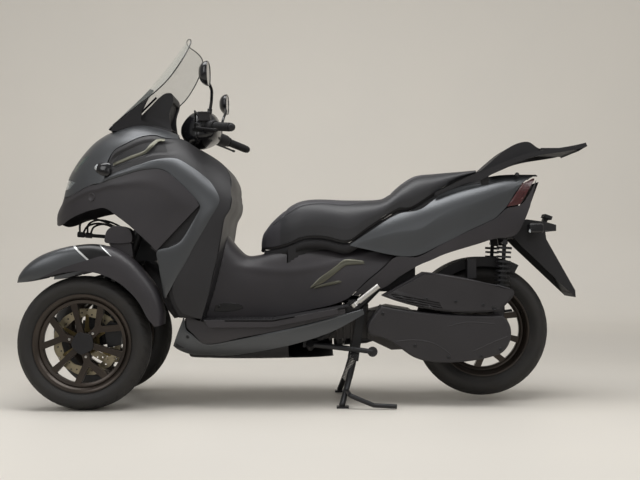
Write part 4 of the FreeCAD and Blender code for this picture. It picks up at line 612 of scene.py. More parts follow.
finishes = {
    # two-coat satin metallic: plain dark grey, pale where it faces the ceiling
    "paint": satinPaint("satin dark grey paint", "#3f4143", "#515356"),
    "patchPaint": satinPaint("satin dark grey paint with band", "#3f4143", "#515356", True),
    # moulded charcoal plastic: dull, slightly brown, faint grain
    "panel": plainFinish("charcoal moulded plastic", "#272528", "#2e2b2e", (0.42, 0.50),
                         grain=(1400, 0.10, 0.0002), specular=0.45),
    # the leg shield's: the same plastic, a shade blacker
    "shield": plainFinish("black moulded plastic", "#1e1d1f", "#252426", (0.44, 0.54),
                          grain=(1200, 0.14, 0.0002), specular=0.4),
    # textured black plastic: footboards, carrier, linings
    "black": plainFinish("textured black plastic", "#171618", "#1d1c1e", (0.55, 0.66),
                         grain=(1100, 0.30, 0.0003), specular=0.35),
    # smooth black plastic with a wet edge light: cover, switches, lamp bodies
    "gloss": plainFinish("gloss black plastic", "#101012", "#141417", (0.14, 0.20),
                         grain=(300, 0.02, 0.0002)),
    # seat top: vinyl with a small leather grain and a soft sheen at its edges
    "seat": seatVinyl("grained black vinyl", "#2b2a2e", "#323136"),
    # seat sides: smoother vinyl that takes a broader highlight
    "seatSide": plainFinish("smooth seat side vinyl", "#1f1f22", "#262629", (0.44, 0.52),
                            grain=(800, 0.18, 0.0003)),
    # belt and air cases: sand-textured nylon
    "case": plainFinish("dark sand textured nylon", "#242224", "#2a282a", (0.46, 0.58),
                        grain=(700, 0.35, 0.0004), specular=0.4),
    # dull cast aluminium of the engine
    "alloy": plainFinish("dark cast aluminium", "#3a3837", "#494746", (0.45, 0.60), metal=0.7,
                         grain=(260, 0.35, 0.0006), driftScale=14),
    # powder coated steel: satin black with a slight orange-peel
    "steel": plainFinish("powder coated steel", "#1c1c1e", "#232325", (0.36, 0.46), metal=0.35,
                         grain=(500, 0.10, 0.0002)),
    # bronze anodised wheel: dark brown metal that lights up on its edges
    "bronze": plainFinish("bronze coated aluminium", "#2c2622", "#3a322b", (0.27, 0.36), metal=0.7,
                          grain=(900, 0.08, 0.0002), coat=0.2),
    # turned brake steel, straw coloured from heat
    "disc": plainFinish("turned brake steel", "#8f8671", "#a69c84", (0.30, 0.42), metal=0.9,
                        grain=(420, 0.15, 0.0002), driftScale=40),
    # bare aluminium of pegs and bolts
    "silver": plainFinish("bare aluminium", "#b4b2ae", "#c6c4c0", (0.26, 0.38), metal=0.9,
                          grain=(600, 0.08, 0.0002)),
    # anodised disc carriers: dull gold
    "gold": plainFinish("gold anodised aluminium", "#5f5334", "#6f6140", (0.34, 0.44), metal=0.8,
                        grain=(700, 0.08, 0.0002)),
    # grips, seals and hoses
    "rubber": plainFinish("black rubber", "#151516", "#1c1c1d", (0.60, 0.74),
                          grain=(650, 0.25, 0.0004), specular=0.3),
    # tyre rubber, greyed by a light film of dust
    "tyre": plainFinish("tyre rubber", "#1f1e1e", "#2b2927", (0.58, 0.76),
                        grain=(380, 0.35, 0.0005), driftScale=11, specular=0.35),
    # accent blades: satin olive metal paint
    "olive": plainFinish("satin olive grey paint", "#4b4a40", "#57564a", (0.26, 0.36), metal=0.7,
                         grain=(1200, 0.05, 0.0002), coat=0.3),
    # cut windscreen sheet: nearly invisible, seen by its reflections
    "screen": clearFinish("clear polycarbonate", "#8e9794", "#a2aaa7", 0.02, 0.13),
    # moulded acrylic over the headlamps: a faint grey veil over the bowls
    "lampClear": clearFinish("clear lamp cover", "#8f9899", "#a7afb0", 0.03, 0.22),
    # moulded lenses: deep red tail lamp, milky indicators, smoked projectors and the dark
    # green look of the glow lamps when they are off
    "lampRed": lensFinish("dark red lens", "#4a0c10", "#260507"),
    "lampWhite": lensFinish("white lens", "#c3c7c9", "#9ea3a6"),
    "darkLens": lensFinish("smoked lens", "#1b2022", "#0f1112"),
    "greenLens": lensFinish("deep green lens", "#12342f", "#0a1c1a"),
    # silvered glass: a smooth, slightly dark reflection
    "mirror": plainFinish("silvered mirror glass", "#8f8f8b", "#9a9a96", (0.04, 0.07), metal=0.9,
                          grain=(50, 0.0, 0.0002)),
    # finned aluminium, dull with dust
    "radiator": plainFinish("dull finned aluminium", "#2c2c2e", "#38383a", (0.5, 0.6), metal=0.6),
}
print("finishes made:", len(finishes))


# slot of each finish, where a piece names no other
finishSlots = {
    "paint": "paint", "patchPaint": "paint", "panel": "dark_panel", "shield": "dark_panel",
    "black": "black_plastic", "gloss": "gloss_black", "mirror": "gloss_black",
    "seat": "seat_cover", "seatSide": "seat_cover", "case": "case_dark", "steel": "dark_steel",
    "bronze": "rim_bronze", "disc": "disc_steel", "gold": "disc_steel", "silver": "silver_metal",
    "rubber": "grip_rubber", "tyre": "tyre", "olive": "olive_trim", "screen": "screen",
    "lampClear": "lamp_clear", "lampWhite": "lamp_clear", "darkLens": "lamp_clear",
    "greenLens": "lamp_clear", "lampRed": "lamp_red",
}


# puts new data into the scene as an object, at the origin
def placed(name, data):
    thing = bpy.data.objects.new(name, data)
    bpy.context.scene.collection.objects.link(thing)
    return thing


# mesh object from parts, which are joined into one mesh with their uv
def makePiece(name, parts, finish, replaces=(), **more):
    points, faces, uvs, start = [], [], [], 0
    for v, f, uv in parts:
        points.append(v)
        faces += ([[i + start for i in face] for face in f] if isinstance(f, list)
                  else (f + start).tolist())
        uvs.append(uv)
        start += len(v)
    mesh = bpy.data.meshes.new(name)
    mesh.from_pydata((np.concatenate(points) * mm).tolist(), [], faces)
    corner = np.empty(len(mesh.loops), np.int64)
    mesh.loops.foreach_get("vertex_index", corner)
    mesh.uv_layers.new(name="UVMap").data.foreach_set("uv", np.concatenate(uvs)[corner].ravel())
    return finishMesh(name, mesh, finish, replaces, **more)


# a mesh made a finished piece: welded where parts meet, its walls and edges left to modifiers
def finishMesh(name, mesh, finish, replaces=(), thick=0.0, edge=0.0, body="vehicle", slot=None,
               sharp=40.0, closed=False, segments=2):
    bm = bmesh.new()
    bm.from_mesh(mesh)
    bmesh.ops.remove_doubles(bm, verts=bm.verts, dist=2e-5)
    bmesh.ops.dissolve_degenerate(bm, edges=bm.edges, dist=1e-6)
    bmesh.ops.delete(bm, geom=[v for v in bm.verts if not v.link_faces], context="VERTS")
    if closed:
        bmesh.ops.recalc_face_normals(bm, faces=bm.faces)
    bm.to_mesh(mesh)
    bm.free()
    mesh.shade_smooth()
    mesh.set_sharp_from_angle(angle=math.radians(sharp))
    mesh.materials.clear()
    mesh.materials.append(finishes[finish])
    piece = placed(name, mesh)
    if thick:
        wall = piece.modifiers.new("wall", "SOLIDIFY")
        wall.thickness = thick * mm
        wall.offset = -1
    if edge:
        rounding = piece.modifiers.new("edge", "BEVEL")
        rounding.width = edge * mm
        rounding.segments = segments
        rounding.limit_method = "ANGLE"
        rounding.angle_limit = math.radians(max(sharp, 35))
        rounding.harden_normals = True
    slot = slot or finishSlots[finish]
    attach(piece, body)
    if replaces:
        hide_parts(*replaces)
    return piece


# finished stand-in for a CAD node: its own mesh, merged, with flat facets joined and edges rounded
def dressNode(node, finish, edge):
    source = nodes[node]
    mesh = source.data.copy()
    bm = bmesh.new()
    bm.from_mesh(mesh)
    bmesh.ops.remove_doubles(bm, verts=bm.verts, dist=2e-6)
    bmesh.ops.dissolve_limit(bm, angle_limit=math.radians(0.6), verts=bm.verts, edges=bm.edges)
    bm.to_mesh(mesh)
    bm.free()
    return finishMesh(node + "_finished", mesh, finish, (node,), edge=edge, sharp=32.0,
                      body=source["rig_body"], slot=nodeSlots[node])


nodeSlots = {part["node"]: part["material_slot"] for part in frame["record"]["subparts"]}


# skins over a form, from grids: the first gives one, facing outward, the second both sides
def skin(form, grid):
    return faceOut(sheetPart(grid), bodyInner(form))


def skins(form, *grids):
    return bothSides(*[skin(form, grid) for grid in grids])


cowl = {
    "split": [(-1004, 840), (-998, 840), (-988, 841), (-972, 843), (-950, 850), (-928, 859),
              (-888, 877), (-848, 889), (-823, 890), (-783, 904), (-724, 920), (-650, 938),
              (-585, 943), (-520, 940)],
    "duct": [(-823, 889.4), (-806, 909), (-800, 962), (-771, 1022), (-724, 1050), (-664, 1078),
             (-612, 1086), (-565, 1074), (-480, 1076)],
    "dash": [(-850, 66), (-760, 108), (-500, 126), (-430, 126), (-430, -20), (-850, -20)],
    "rows": 96, "columns": 64, "wall": 3.0, "edge": 1.0,
}


# stations spaced evenly along the nose's profile, where it falls away steeply
def cowlStations(count):
    x = np.linspace(cowl["split"][0][0], cowl["split"][-1][0], 600)
    reach = reachOf(np.stack([x, tableAt(cowlForm["top"], x)], -1))
    return np.interp(np.linspace(0, reach[-1], count), reach, x)


# left half of the cowl's skin: at each station from the split line's angle to the top
def cowlHalf(rows, columns):
    x = cowlStations(rows)
    start = angleAt(cowlForm, x, tableAt(cowl["split"], x))
    share = np.linspace(0, 1, 241)
    angle = start[:, None] + (math.pi / 2 - start)[:, None] * share
    return respace(formPoint(cowlForm, x[:, None], angle), columns)


# front-view outline (distance from the middle, height) of a lamp whose corners lie at
# stations and heights of the nose
def noseOutline(corners, inner):
    outer = [(float(formWidth(cowlForm, x, z)), z) for x, z in corners]
    return np.array([(inner, corners[0][1])] + outer + [(inner, corners[-1][1])])


# points as seen from the front, and put back on the nose
def fromFront(p):
    return np.stack([np.abs(p[:, 1]), p[:, 2]], -1)


def toFront(p, flat):
    x = stationAt(cowlForm, flat[:, 0], flat[:, 1], -1049.0, -700.0)
    return gridOf(x, sideOf(p) * flat[:, 0], flat[:, 1])


lamps = {
    "head": ([(-1012, 863), (-970, 873), (-938, 900), (-975, 913), (-1000, 914)], 16),
    "glow": [(-941, 943), (-908, 980), (-884, 1000), (-890, 1006), (-924, 994), (-957, 948)],
    "rows": 150, "columns": 90, "lensSink": 0.4, "bowlDepth": 13.0, "lensWall": 2.0,
    "projectors": [(-968, -70, 890), (-952, -92, 892), (-982, -46, 889)],
    "projector": [(0, 0), (6, -1), (10, -4), (11, -9), (0, -9)], "aim": (-0.9, -0.25, 0),
    "indicator": [((-846, 950), (-842, 958)), ((-836, 934), (-826, 968)),
                  ((-812, 920), (-806, 970)), ((-790, 918), (-786, 968)),
                  ((-778, 924), (-774, 960))],
    "indicatorRows": 26, "indicatorColumns": 18, "indicatorRise": 12,
}


# the two outlines seen from the front, with their corners rounded
def lampOutlines():
    corners, inner = lamps["head"]
    glow = [(float(formWidth(cowlForm, x, z)), z) for x, z in lamps["glow"]]
    return roundCorners(noseOutline(corners, inner), 4), roundCorners(glow, 2)


# painted nose: the upper form less the duct behind each indicator, the dash and the lamps
def makeCowl():
    half = skin(cowlForm, cowlHalf(cowl["rows"], cowl["columns"]))
    duct = np.concatenate([softLine(cowl["duct"], 120), [(-480, 700), (-823, 700)]])
    half = trim(half, duct, fromSide, toSide(cowlForm))
    half = trim(half, cowl["dash"], fromAbove, toAbove(cowlForm))
    for outline in lampOutlines():
        half = trim(half, outline, fromFront, toFront)
    makePiece("cowl_skin", bothSides(half), "paint", ("front_cowl",), thick=cowl["wall"],
              edge=cowl["edge"])


# part of the nose's skin inside each lamp outline, moved inward by `depth`
def lampSheets(depth):
    half = skin(cowlForm, cowlHalf(lamps["rows"], lamps["columns"]))
    sheets = []
    for outline in lampOutlines():
        v, f, uv = trim(half, outline, fromFront, toFront, inside=True)
        v[np.unique(f)] += np.array([0.75, 0, -0.1]) * depth
        sheets.append((v, f, uv))
    return sheets


# lenses over dark bowls with three projectors a side, and the indicators, whose grid is
# lifted by sin^0.6 both along and across so that each swells to its middle
def makeFrontLamps():
    head, glow = lampSheets(lamps["lensSink"])
    makePiece("headlamp_lenses", bothSides(head), "lampClear", ("front_lamps",),
              thick=lamps["lensWall"], edge=0.5)
    makePiece("glow_lamp_lenses", bothSides(glow), "greenLens", thick=lamps["lensWall"], edge=0.5)
    makePiece("headlamp_bowls", bothSides(*lampSheets(lamps["bowlDepth"])), "gloss", thick=2.0,
              edge=0.5)
    projectors = [lathePart(lamps["projector"], place, lamps["aim"], 24)
                  for place in lamps["projectors"]]
    makePiece("headlamp_projectors", bothSides(*projectors), "darkLens", closed=True)
    rows, columns = lamps["indicatorRows"], lamps["indicatorColumns"]
    grid = sideGrid(cowlForm, lamps["indicator"], rows, columns)
    bulge = np.outer(np.sin(np.linspace(0, math.pi, rows)),
                     np.sin(np.linspace(0, math.pi, columns)))
    rise = lamps["indicatorRise"] * bulge**0.6
    makePiece("front_indicator_bodies", skins(cowlForm, lifted(grid, 8 + rise, cowlForm)),
              "gloss", thick=8, edge=1.0)
    edge = lifted(grid[2:8, 3:15], 9.5 + rise[2:8, 3:15], cowlForm)
    makePiece("front_indicator_lenses", skins(cowlForm, edge), "lampWhite", thick=3, edge=0.6)


strip = {
    "ribs": [((-823, 890), (-805, 908)), ((-783, 904), (-768, 928)), ((-724, 920), (-717, 944)),
             ((-650, 938), (-658, 961)), ((-585, 943), (-599, 979)), ((-545, 930), (-540, 987)),
             ((-525, 915), (-508, 983)), ((-485, 879), (-461, 957)), ((-452, 846), (-422, 930)),
             ((-428, 818), (-382, 896)), ((-416, 800), (-352, 853)), ((-414, 786), (-341, 821)),
             ((-422, 768), (-347, 795)), ((-446, 726), (-373, 750)), ((-474, 679), (-404, 695)),
             ((-497, 652), (-432, 647)), ((-536, 634), (-452, 610)), ((-583, 620), (-470, 577)),
             ((-577, 566), (-500, 528)), ((-565, 490), (-527, 478)), ((-558, 442), (-551, 436))],
    "wall": 3.0, "crown": 3.0,
}


# panel whose middle stands a little proud of its edges, so that light rolls over it
def crowned(form, ribs, rows, columns, crown):
    grid = sideGrid(form, ribs, rows, columns)
    across = np.sin(np.linspace(0, math.pi, columns)) ** 0.7
    ends = np.minimum(1, np.minimum(np.arange(rows), np.arange(rows)[::-1]) / 4)
    return lifted(grid, crown * np.outer(ends, across), form)


# painted strip between side panel and leg shield
def makeStrip():
    grid = crowned(cowlForm, strip["ribs"], 130, 16, strip["crown"])
    makePiece("leg_shield_strips", skins(cowlForm, grid), "paint",
              ("leg_shield_trims",), thick=strip["wall"], edge=1.0)


sidePanel = {
    "ribs": [((-1047, 737), (-1009, 833)), ((-1040, 729), (-1003, 836)),
             ((-1025, 724), (-990, 838)), ((-1003, 730), (-964, 844)),
             ((-962, 752), (-928, 858)), ((-900, 774), (-870, 882)),
             ((-850, 786), (-823, 889)), ((-800, 790), (-783, 903)), ((-750, 758), (-724, 919)),
             ((-700, 722), (-650, 937)), ((-660, 688), (-585, 942)), ((-630, 662), (-545, 929)),
             ((-610, 644), (-525, 914)), ((-600, 634), (-485, 878)), ((-594, 628), (-452, 845)),
             ((-589, 624), (-428, 817)), ((-586, 621), (-417, 798))],
    "nose": [(-1049, 741), (-1046, 745), (-1040, 755), (-1030, 783), (-1020, 811), (-1012, 833),
             (-1005, 837.5)],
    "rows": 84, "columns": 40, "wall": 3.0, "seam": 0.6,
    "crease": 0.80, "creaseHalf": 0.10, "creaseHeight": 2.6,
    "blankAt": (-861, 836), "blankRadius": 17.0,
}


# side panel with a crease that runs below its upper seam: the band above it leans outward
def makeSidePanels():
    rows, columns = sidePanel["rows"], sidePanel["columns"]
    ribs = [(low, (high[0], high[1] - sidePanel["seam"])) for low, high in sidePanel["ribs"]]
    share = np.linspace(0, 1, columns)
    ridge = np.exp(-((share - sidePanel["crease"]) / sidePanel["creaseHalf"]) ** 2)
    rise = np.outer(fadedEnds(rows, 12, 12), sidePanel["creaseHeight"] * ridge)
    grid = lifted(sideGrid(cowlForm, ribs, rows, columns), rise, cowlForm)
    nose = wrapGrid(cowlForm, sidePanel["nose"], 22, 34)
    makePiece("side_panel_skins", skins(cowlForm, grid) + [skin(cowlForm, nose)], "panel",
              ("side_panels",), thick=sidePanel["wall"], edge=1.0)
    x, z = sidePanel["blankAt"]
    r = sidePanel["blankRadius"]
    y, ahead = -formWidth(cowlForm, np.array([x, x + 10.0]), z)
    badge = lathePart([(0, 1.6), (r * 0.8, 1.6), (r * 0.86, 2.4), (r, 2.0), (r + 1, -1), (0, -1)],
                      (x, y, z), (ahead - y, -10.0, 0.6), 40)
    makePiece("blank_side_discs", bothSides(badge), "panel", closed=True)


shield = {
    "ribs": [((-799, 914), (-796, 958)), ((-768, 928), (-771, 1018)), ((-717, 944), (-724, 1046)),
             ((-658, 961), (-664, 1074)), ((-599, 979), (-612, 1082)), ((-540, 987), (-565, 1070)),
             ((-508, 983), (-510, 1074)), ((-461, 957), (-440, 1034)), ((-422, 930), (-375, 995)),
             ((-382, 896), (-333, 960)), ((-352, 853), (-308, 917)), ((-341, 821), (-301, 878)),
             ((-347, 795), (-297, 826)), ((-373, 750), (-303, 786)), ((-404, 695), (-323, 746)),
             ((-432, 647), (-334, 687)), ((-452, 610), (-342, 640)), ((-470, 577), (-350, 590)),
             ((-500, 528), (-362, 540)), ((-522, 478), (-375, 480)), ((-514, 430), (-388, 425)),
             ((-496, 394), (-399, 390)), ((-480, 377), (-409, 356))],
    "back": [(-500, 1078), (-440, 1036), (-375, 997), (-332, 962), (-306, 919), (-298, 888),
             (-300, 852), (-294, 821), (-300, 786), (-320, 748), (-331, 687), (-345, 600),
             (-372, 480), (-398, 390), (-412, 347)],
    "rows": 120, "columns": 26, "wall": 3.0, "seam": 0.6, "ductDepth": 9.0,
    "columnNotch": (168.0, 1028), "tunnelNotch": (104.0, 610),
}


# skin whose upper end sinks into a duct slot, slanted behind the indicator, and the wall
# towards the rider, across the form's width, open for the steering column and the tunnel
def makeLegShield():
    ribs = np.array(shield["ribs"], float)
    rise = ribs[:, 1] - ribs[:, 0]
    ribs[:, 0] += rise * shield["seam"] / np.linalg.norm(rise, axis=1, keepdims=True)
    row, share = np.linspace(0, 1, shield["rows"]), np.linspace(0, 1, shield["columns"])
    sink = np.outer(smoothStep(0.02, 0.06, row) * smoothStep(0.30, 0.22, row),
                    smoothStep(0.16, 0.34, share) * smoothStep(0.86, 0.70, share))
    grid = lifted(sideGrid(cowlForm, ribs, shield["rows"], shield["columns"]),
                  -shield["ductDepth"] * sink, cowlForm)
    line = softLine(shield["back"], 90)
    half = formWidth(cowlForm, line[:, 0], line[:, 1]) - shield["wall"] - 1.5
    share = np.linspace(-1, 1, 61)
    v, f, uv = sheetPart(gridOf(line[:, :1], half[:, None] * share, line[:, 1:]))
    y, z = np.abs(v[f].mean(1)[:, 1]), v[f].mean(1)[:, 2]
    column = (y < shield["columnNotch"][0]) & (z > shield["columnNotch"][1])
    foot = (y < shield["tunnelNotch"][0]) & (z < shield["tunnelNotch"][1])
    wallPart = faceOut((v, f[~(column | foot)], uv), lambda p: p * [1, 0, 1] - [300, 0, 100])
    makePiece("leg_shield_skins", skins(cowlForm, grid), "shield", ("leg_shield",),
              thick=shield["wall"], edge=1.0)
    makePiece("leg_shield_back", [wallPart], "shield", thick=shield["wall"], edge=1.0)


lining = {
    "front": [((-800, 900), (-790, 950)), ((-700, 925), (-720, 1035)), ((-600, 945), (-612, 1070)),
              ((-530, 930), (-520, 1062)), ((-450, 850), (-380, 985)), ((-425, 800), (-312, 900)),
              ((-430, 760), (-312, 800)), ((-480, 670), (-335, 690)), ((-560, 620), (-355, 590)),
              ((-560, 500), (-378, 480)), ((-540, 430), (-398, 390)), ((-500, 360), (-410, 356))],
    "wedge": [((-416, 812), (-440, 806)), ((-405, 772), (-474, 768)), ((-430, 715), (-528, 712)),
              ((-470, 660), (-578, 668)), ((-530, 625), (-606, 645)), ((-580, 608), (-616, 632))],
    "sink": -7.0, "wedgeSink": -12.0, "floor": [(-520, 240), (-470, 380), (-400, 380), (-390, 240)],
    "floorY": (-225, -219), "seatShare": 0.9, "seatDeep": 40.0,
}


# dark linings behind the seams, so that no light shows through the joints of the skins
def makeLinings():
    grid = lifted(sideGrid(cowlForm, lining["front"], 60, 12), lining["sink"], cowlForm)
    wedge = lifted(sideGrid(cowlForm, lining["wedge"], 40, 12), lining["wedgeSink"], cowlForm)
    makePiece("front_inner_lining", skins(cowlForm, grid, wedge), "black", thick=1.5)
    makePiece("floor_inner_walls", bothSides(prismPart(lining["floor"], *lining["floorY"])),
              "black", closed=True)
    x = np.linspace(-180, 680, 120)[:, None]
    half = tableAt(seat["half"], x) * lining["seatShare"]
    share = np.array([[0.0, 1.0]])
    z = tableAt(tunnel["seatLow"], x) - lining["seatDeep"] * (1 - share) + 1.5 * share
    part = faceOut(sheetPart(gridOf(x, -half, z)), lambda p: p * [1, 0, 1])
    makePiece("seat_opening_rim", bothSides(part), "black", thick=2.0)


screen = {
    "middle": [(1120, -839), (1128, -832), (1287, -668), (1411, -566), (1493, -507)],
    "outline": [(-150, 1130), (-188, 1185), (-222, 1240), (-230, 1290), (-226, 1330), (-214, 1384),
                (-196, 1430), (-183, 1454), (-160, 1472), (-126, 1483), (-90, 1488), (0, 1490)],
    "bend": (105, 230, 2.1), "reach": 236, "levels": (1124, 1493), "wall": 4.0, "edgeRadius": 2.4,
    "bars": 74.0, "barLevels": (1120, 1282), "barRadius": 6.5,
}


# bent sheet: x = middle line + depth * (distance from the middle / half width) ^ power
def screenX(y, z):
    depth, half, power = screen["bend"]
    return tableAt(screen["middle"], z) + depth * (np.abs(y) / half) ** power


# clear sheet, a black rod along its cut edge that paints the dark line light gives the clear edge
# (painted shade), and the two black bars that carry its foot
def makeScreen():
    def onSheet(p, flat):
        return np.stack([screenX(flat[:, 0], flat[:, 1]), flat[:, 0], flat[:, 1]], -1)
    half = softLine(screen["outline"], 90)
    outline = np.concatenate([half, half[::-1] * [-1, 1]])
    y = np.linspace(-screen["reach"], screen["reach"], 110)[None, :]
    z = np.linspace(*screen["levels"], 90)[:, None]
    part = faceOut(sheetPart(gridOf(screenX(y, z), y, z)), lambda p: p + [200, 0, 0])
    sheet = trim(part, outline, lambda p: p[:, 1:], onSheet, inside=True)
    makePiece("windscreen_sheet", [sheet], "screen", ("windscreen",), thick=screen["wall"])
    # black rod round the outline: painted shade standing in for the dark look of the clear sheet's
    # cut edge
    parts = [pipePart(onSheet(None, outline) + [2, 0, 0], screen["edgeRadius"], 8)]
    level = np.linspace(*screen["barLevels"], 14)
    for y in (-screen["bars"], screen["bars"]):
        path = np.stack([screenX(y, level) + 11, 0 * level + y, level], -1)
        parts.append(pipePart(path, screen["barRadius"], 12, flatness=0.7))
    makePiece("windscreen_painted_edge_and_bars", parts, "gloss", closed=True)


tunnel = {
    "edge": [(-420, 353.5), (-360, 353.5), (-300, 353.5), (-240, 353.5), (-180, 353.5),
             (-136, 353.5), (-71, 366), (14, 384), (100, 404), (160, 428), (186, 449), (240, 502),
             (300, 552), (354, 606)],
    "seatLow": [(-194, 621), (-134, 627), (-70, 645), (-30, 663), (15, 670), (71, 668), (164, 652),
                (248, 708), (365, 780), (418, 786), (514, 845), (615, 901), (690, 928)],
    "crease": [(-300, 560), (-100, 540), (60, 560), (200, 600), (354, 640)],
    "creaseHeight": 3.0, "creaseHalf": 16.0, "wall": 3.0,
    "opening": [(-84, -20), (-84, 103), (400, 103), (400, -20)],
}


# shell over the tunnel, with a crease along its side that lifts the panel under the seat's
# edge, cut by the leg shield's line in front and the seat's above, and open under the seat
def makeTunnel():
    grid = wrapGrid(tunnelForm, tunnel["edge"], 110, 120)
    x, z = grid[..., 0], grid[..., 2]
    off = (z - tableAt(tunnel["crease"], x)) / tunnel["creaseHalf"]
    grid = lifted(grid, tunnel["creaseHeight"] * np.exp(-off**2) * smoothStep(-330, -250, x),
                  tunnelForm)
    part = faceOut(sheetPart(grid), lambda p: p * [1, 0, 0] + [0, 0, 420])
    front = np.array([(x + 1.0, z) for x, z in softLine(shield["back"], 80) if z < 770])
    front = np.concatenate([front, [(-600, 330), (-600, 790)]])
    above = np.concatenate([softLine([(x, z - 7) for x, z in tunnel["seatLow"]], 120),
                            [(700, 1000), (-194, 1000)]])
    for outline in (front, above):
        part = trim(part, outline, fromSide, sameY)
    v, f, uv = part
    centre = v[f].mean(1)
    f = f[~(inOutline(fromAbove(centre), tunnel["opening"]) & (centre[:, 2] > 560))]
    makePiece("tunnel_skin", [(v, f, uv)], "panel", ("centre_tunnel",), thick=tunnel["wall"],
              edge=1.0)


accents = {
    "upper": [((11, 470), (13, 474)), ((60, 492), (52, 513)), ((98, 520), (80, 533)),
              ((130, 546), (112, 556)), ((156, 563), (150, 584)), ((190, 567), (184, 586)),
              ((231, 569), (227, 580))],
    "lower": [((26, 469), (30, 475)), ((70, 480), (72, 488)), ((110, 488), (106, 497)),
              ((139, 497), (137, 500))],
    "rail": [((-768, 958), (-768, 968)), ((-750, 964), (-750, 974)), ((-704, 981), (-704, 991)),
             ((-640, 1004), (-642, 1014)), ((-612, 1030), (-622, 1040)),
             ((-592, 1054), (-598, 1064)), ((-568, 1056), (-568, 1066))],
    "lift": 3.4, "wall": 2.4,
}


# two blades on the tunnel's side and a rail on the nose, each a little proud of its panel
def makeAccents():
    upper, lower = [lifted(crowned(tunnelForm, accents[key], rows, columns, crown),
                           accents["lift"], tunnelForm)
                    for key, rows, columns, crown in (("upper", 60, 12, 2.0),
                                                      ("lower", 40, 8, 1.2))]
    rail = lifted(crowned(cowlForm, accents["rail"], 70, 9, 1.5), accents["lift"], cowlForm)
    makePiece("accent_blades", skins(tunnelForm, upper, lower) + skins(cowlForm, rail), "olive",
              ("accent_trims",), thick=accents["wall"], edge=0.7)


floor = {
    "skinRibs": [((-470, 321), (-473, 364)), ((-444, 296), (-440, 354)), ((-398, 257), (-398, 345)),
                 ((-240, 286), (-240, 345)), ((-85, 316), (-85, 352)), ((60, 351), (60, 379)),
                 ((150, 374), (150, 396))],
    "plan": [(-408, 100), (-408, 274), (-300, 285), (-60, 285), (80, 266), (166, 240), (166, 100)],
    "lip": [(-400, 352.4), (-133, 352.4), (120, 398.4), (120, 376), (-133, 325), (-380, 323)],
    "lipY": (-285, -279), "rows": 380, "columns": 48, "level": 353.0, "wall": 6.0,
    "ribPitch": 14.0, "ribHeight": 3.4, "ribHalf": 3.6,
    "treadX": (-398, -118), "treadY": (150, 262), "treadRise": (-133, 166, 55),
}


# footboard: a plate over the plan outline, level in front and rising behind, with rounded
# tread bars across it: height = level + rise + bar height * (1 - (distance from bar / half) ^ 4)
def makeFootboards():
    x = np.linspace(-408, 166, floor["rows"])[:, None]
    y = np.linspace(100, 285, floor["columns"])[None, :]
    (first, last), (near, far) = floor["treadX"], floor["treadY"]
    bar = np.abs((x - first) % floor["ribPitch"] - floor["ribPitch"] / 2)
    inside = (x > first) & (x < last) & (y > near) & (y < far - 0.04 * np.abs(x))
    start, end, rise = floor["treadRise"]
    z = (floor["level"] + np.maximum(0, x - start) / (end - start) * rise
         + floor["ribHeight"] * np.clip(1 - (bar / floor["ribHalf"]) ** 4, 0, 1) * inside)
    part = faceOut(sheetPart(gridOf(x, -y, z)), lambda p: p - [0, 0, 100])
    part = trim(part, roundCorners(floor["plan"], 14), fromAbove,
                lambda p, flat: np.stack([flat[:, 0], -flat[:, 1], p[:, 2]], -1), inside=True)
    makePiece("footboard_treads", bothSides(part), "black", ("footboards",), thick=floor["wall"],
              edge=1.2)
    makePiece("footboard_sides", skins(skirtForm, sideGrid(skirtForm, floor["skinRibs"], 70, 14)),
              "panel", thick=3, edge=1.0)
    makePiece("footboard_lips", bothSides(prismPart(floor["lip"], *floor["lipY"])), "panel",
              edge=1.6, closed=True)


skirt = {
    "ribs": [((-529, 246), (-480, 368)), ((-508, 228), (-474, 316)), ((-470, 212), (-448, 294)),
             ((-430, 207), (-410, 261)), ((-390, 206), (-376, 255)), ((-300, 206), (-280, 273)),
             ((-158, 231), (-150, 301)), ((-28, 262), (-20, 328)), ((108, 309), (100, 360)),
             ((226, 372), (220, 392))],
    "belly": [(-470, 210), (-420, 206), (-300, 204), (-158, 230), (-28, 261), (60, 290),
              (106, 307)],
    "rows": 96, "columns": 26, "beadAt": 0.93, "beadHalf": 0.035, "beadHeight": 1.8,
    "wall": 3.0, "notch": (-72, -100),
}


# lower skirt, with a raised bead along its upper edge that catches the light, and the belly
# pan under it, notched where the side stand folds
def makeSkirts():
    rows, columns = skirt["rows"], skirt["columns"]
    bead = np.exp(-((np.linspace(0, 1, columns) - skirt["beadAt"]) / skirt["beadHalf"]) ** 2)
    grid = lifted(sideGrid(skirtForm, skirt["ribs"], rows, columns),
                  np.outer(np.ones(rows), skirt["beadHeight"] * bead), skirtForm)
    makePiece("lower_skirt_skins", skins(skirtForm, grid), "paint", ("lower_skirts",),
              thick=skirt["wall"], edge=1.0)
    belly = wrapGrid(skirtForm, [(x, z - 0.6) for x, z in skirt["belly"]], 70, 60, over=False)
    v, f, uv = faceOut(sheetPart(belly), lambda p: p * [1, 0, 0] + [0, 0, 330])
    centre = v[f].mean(1)
    f = f[(centre[:, 0] < skirt["notch"][0]) | (centre[:, 1] > skirt["notch"][1])]
    makePiece("belly_skin", [(v, f, uv)], "black", ("belly_pan",), thick=3, edge=1.0)


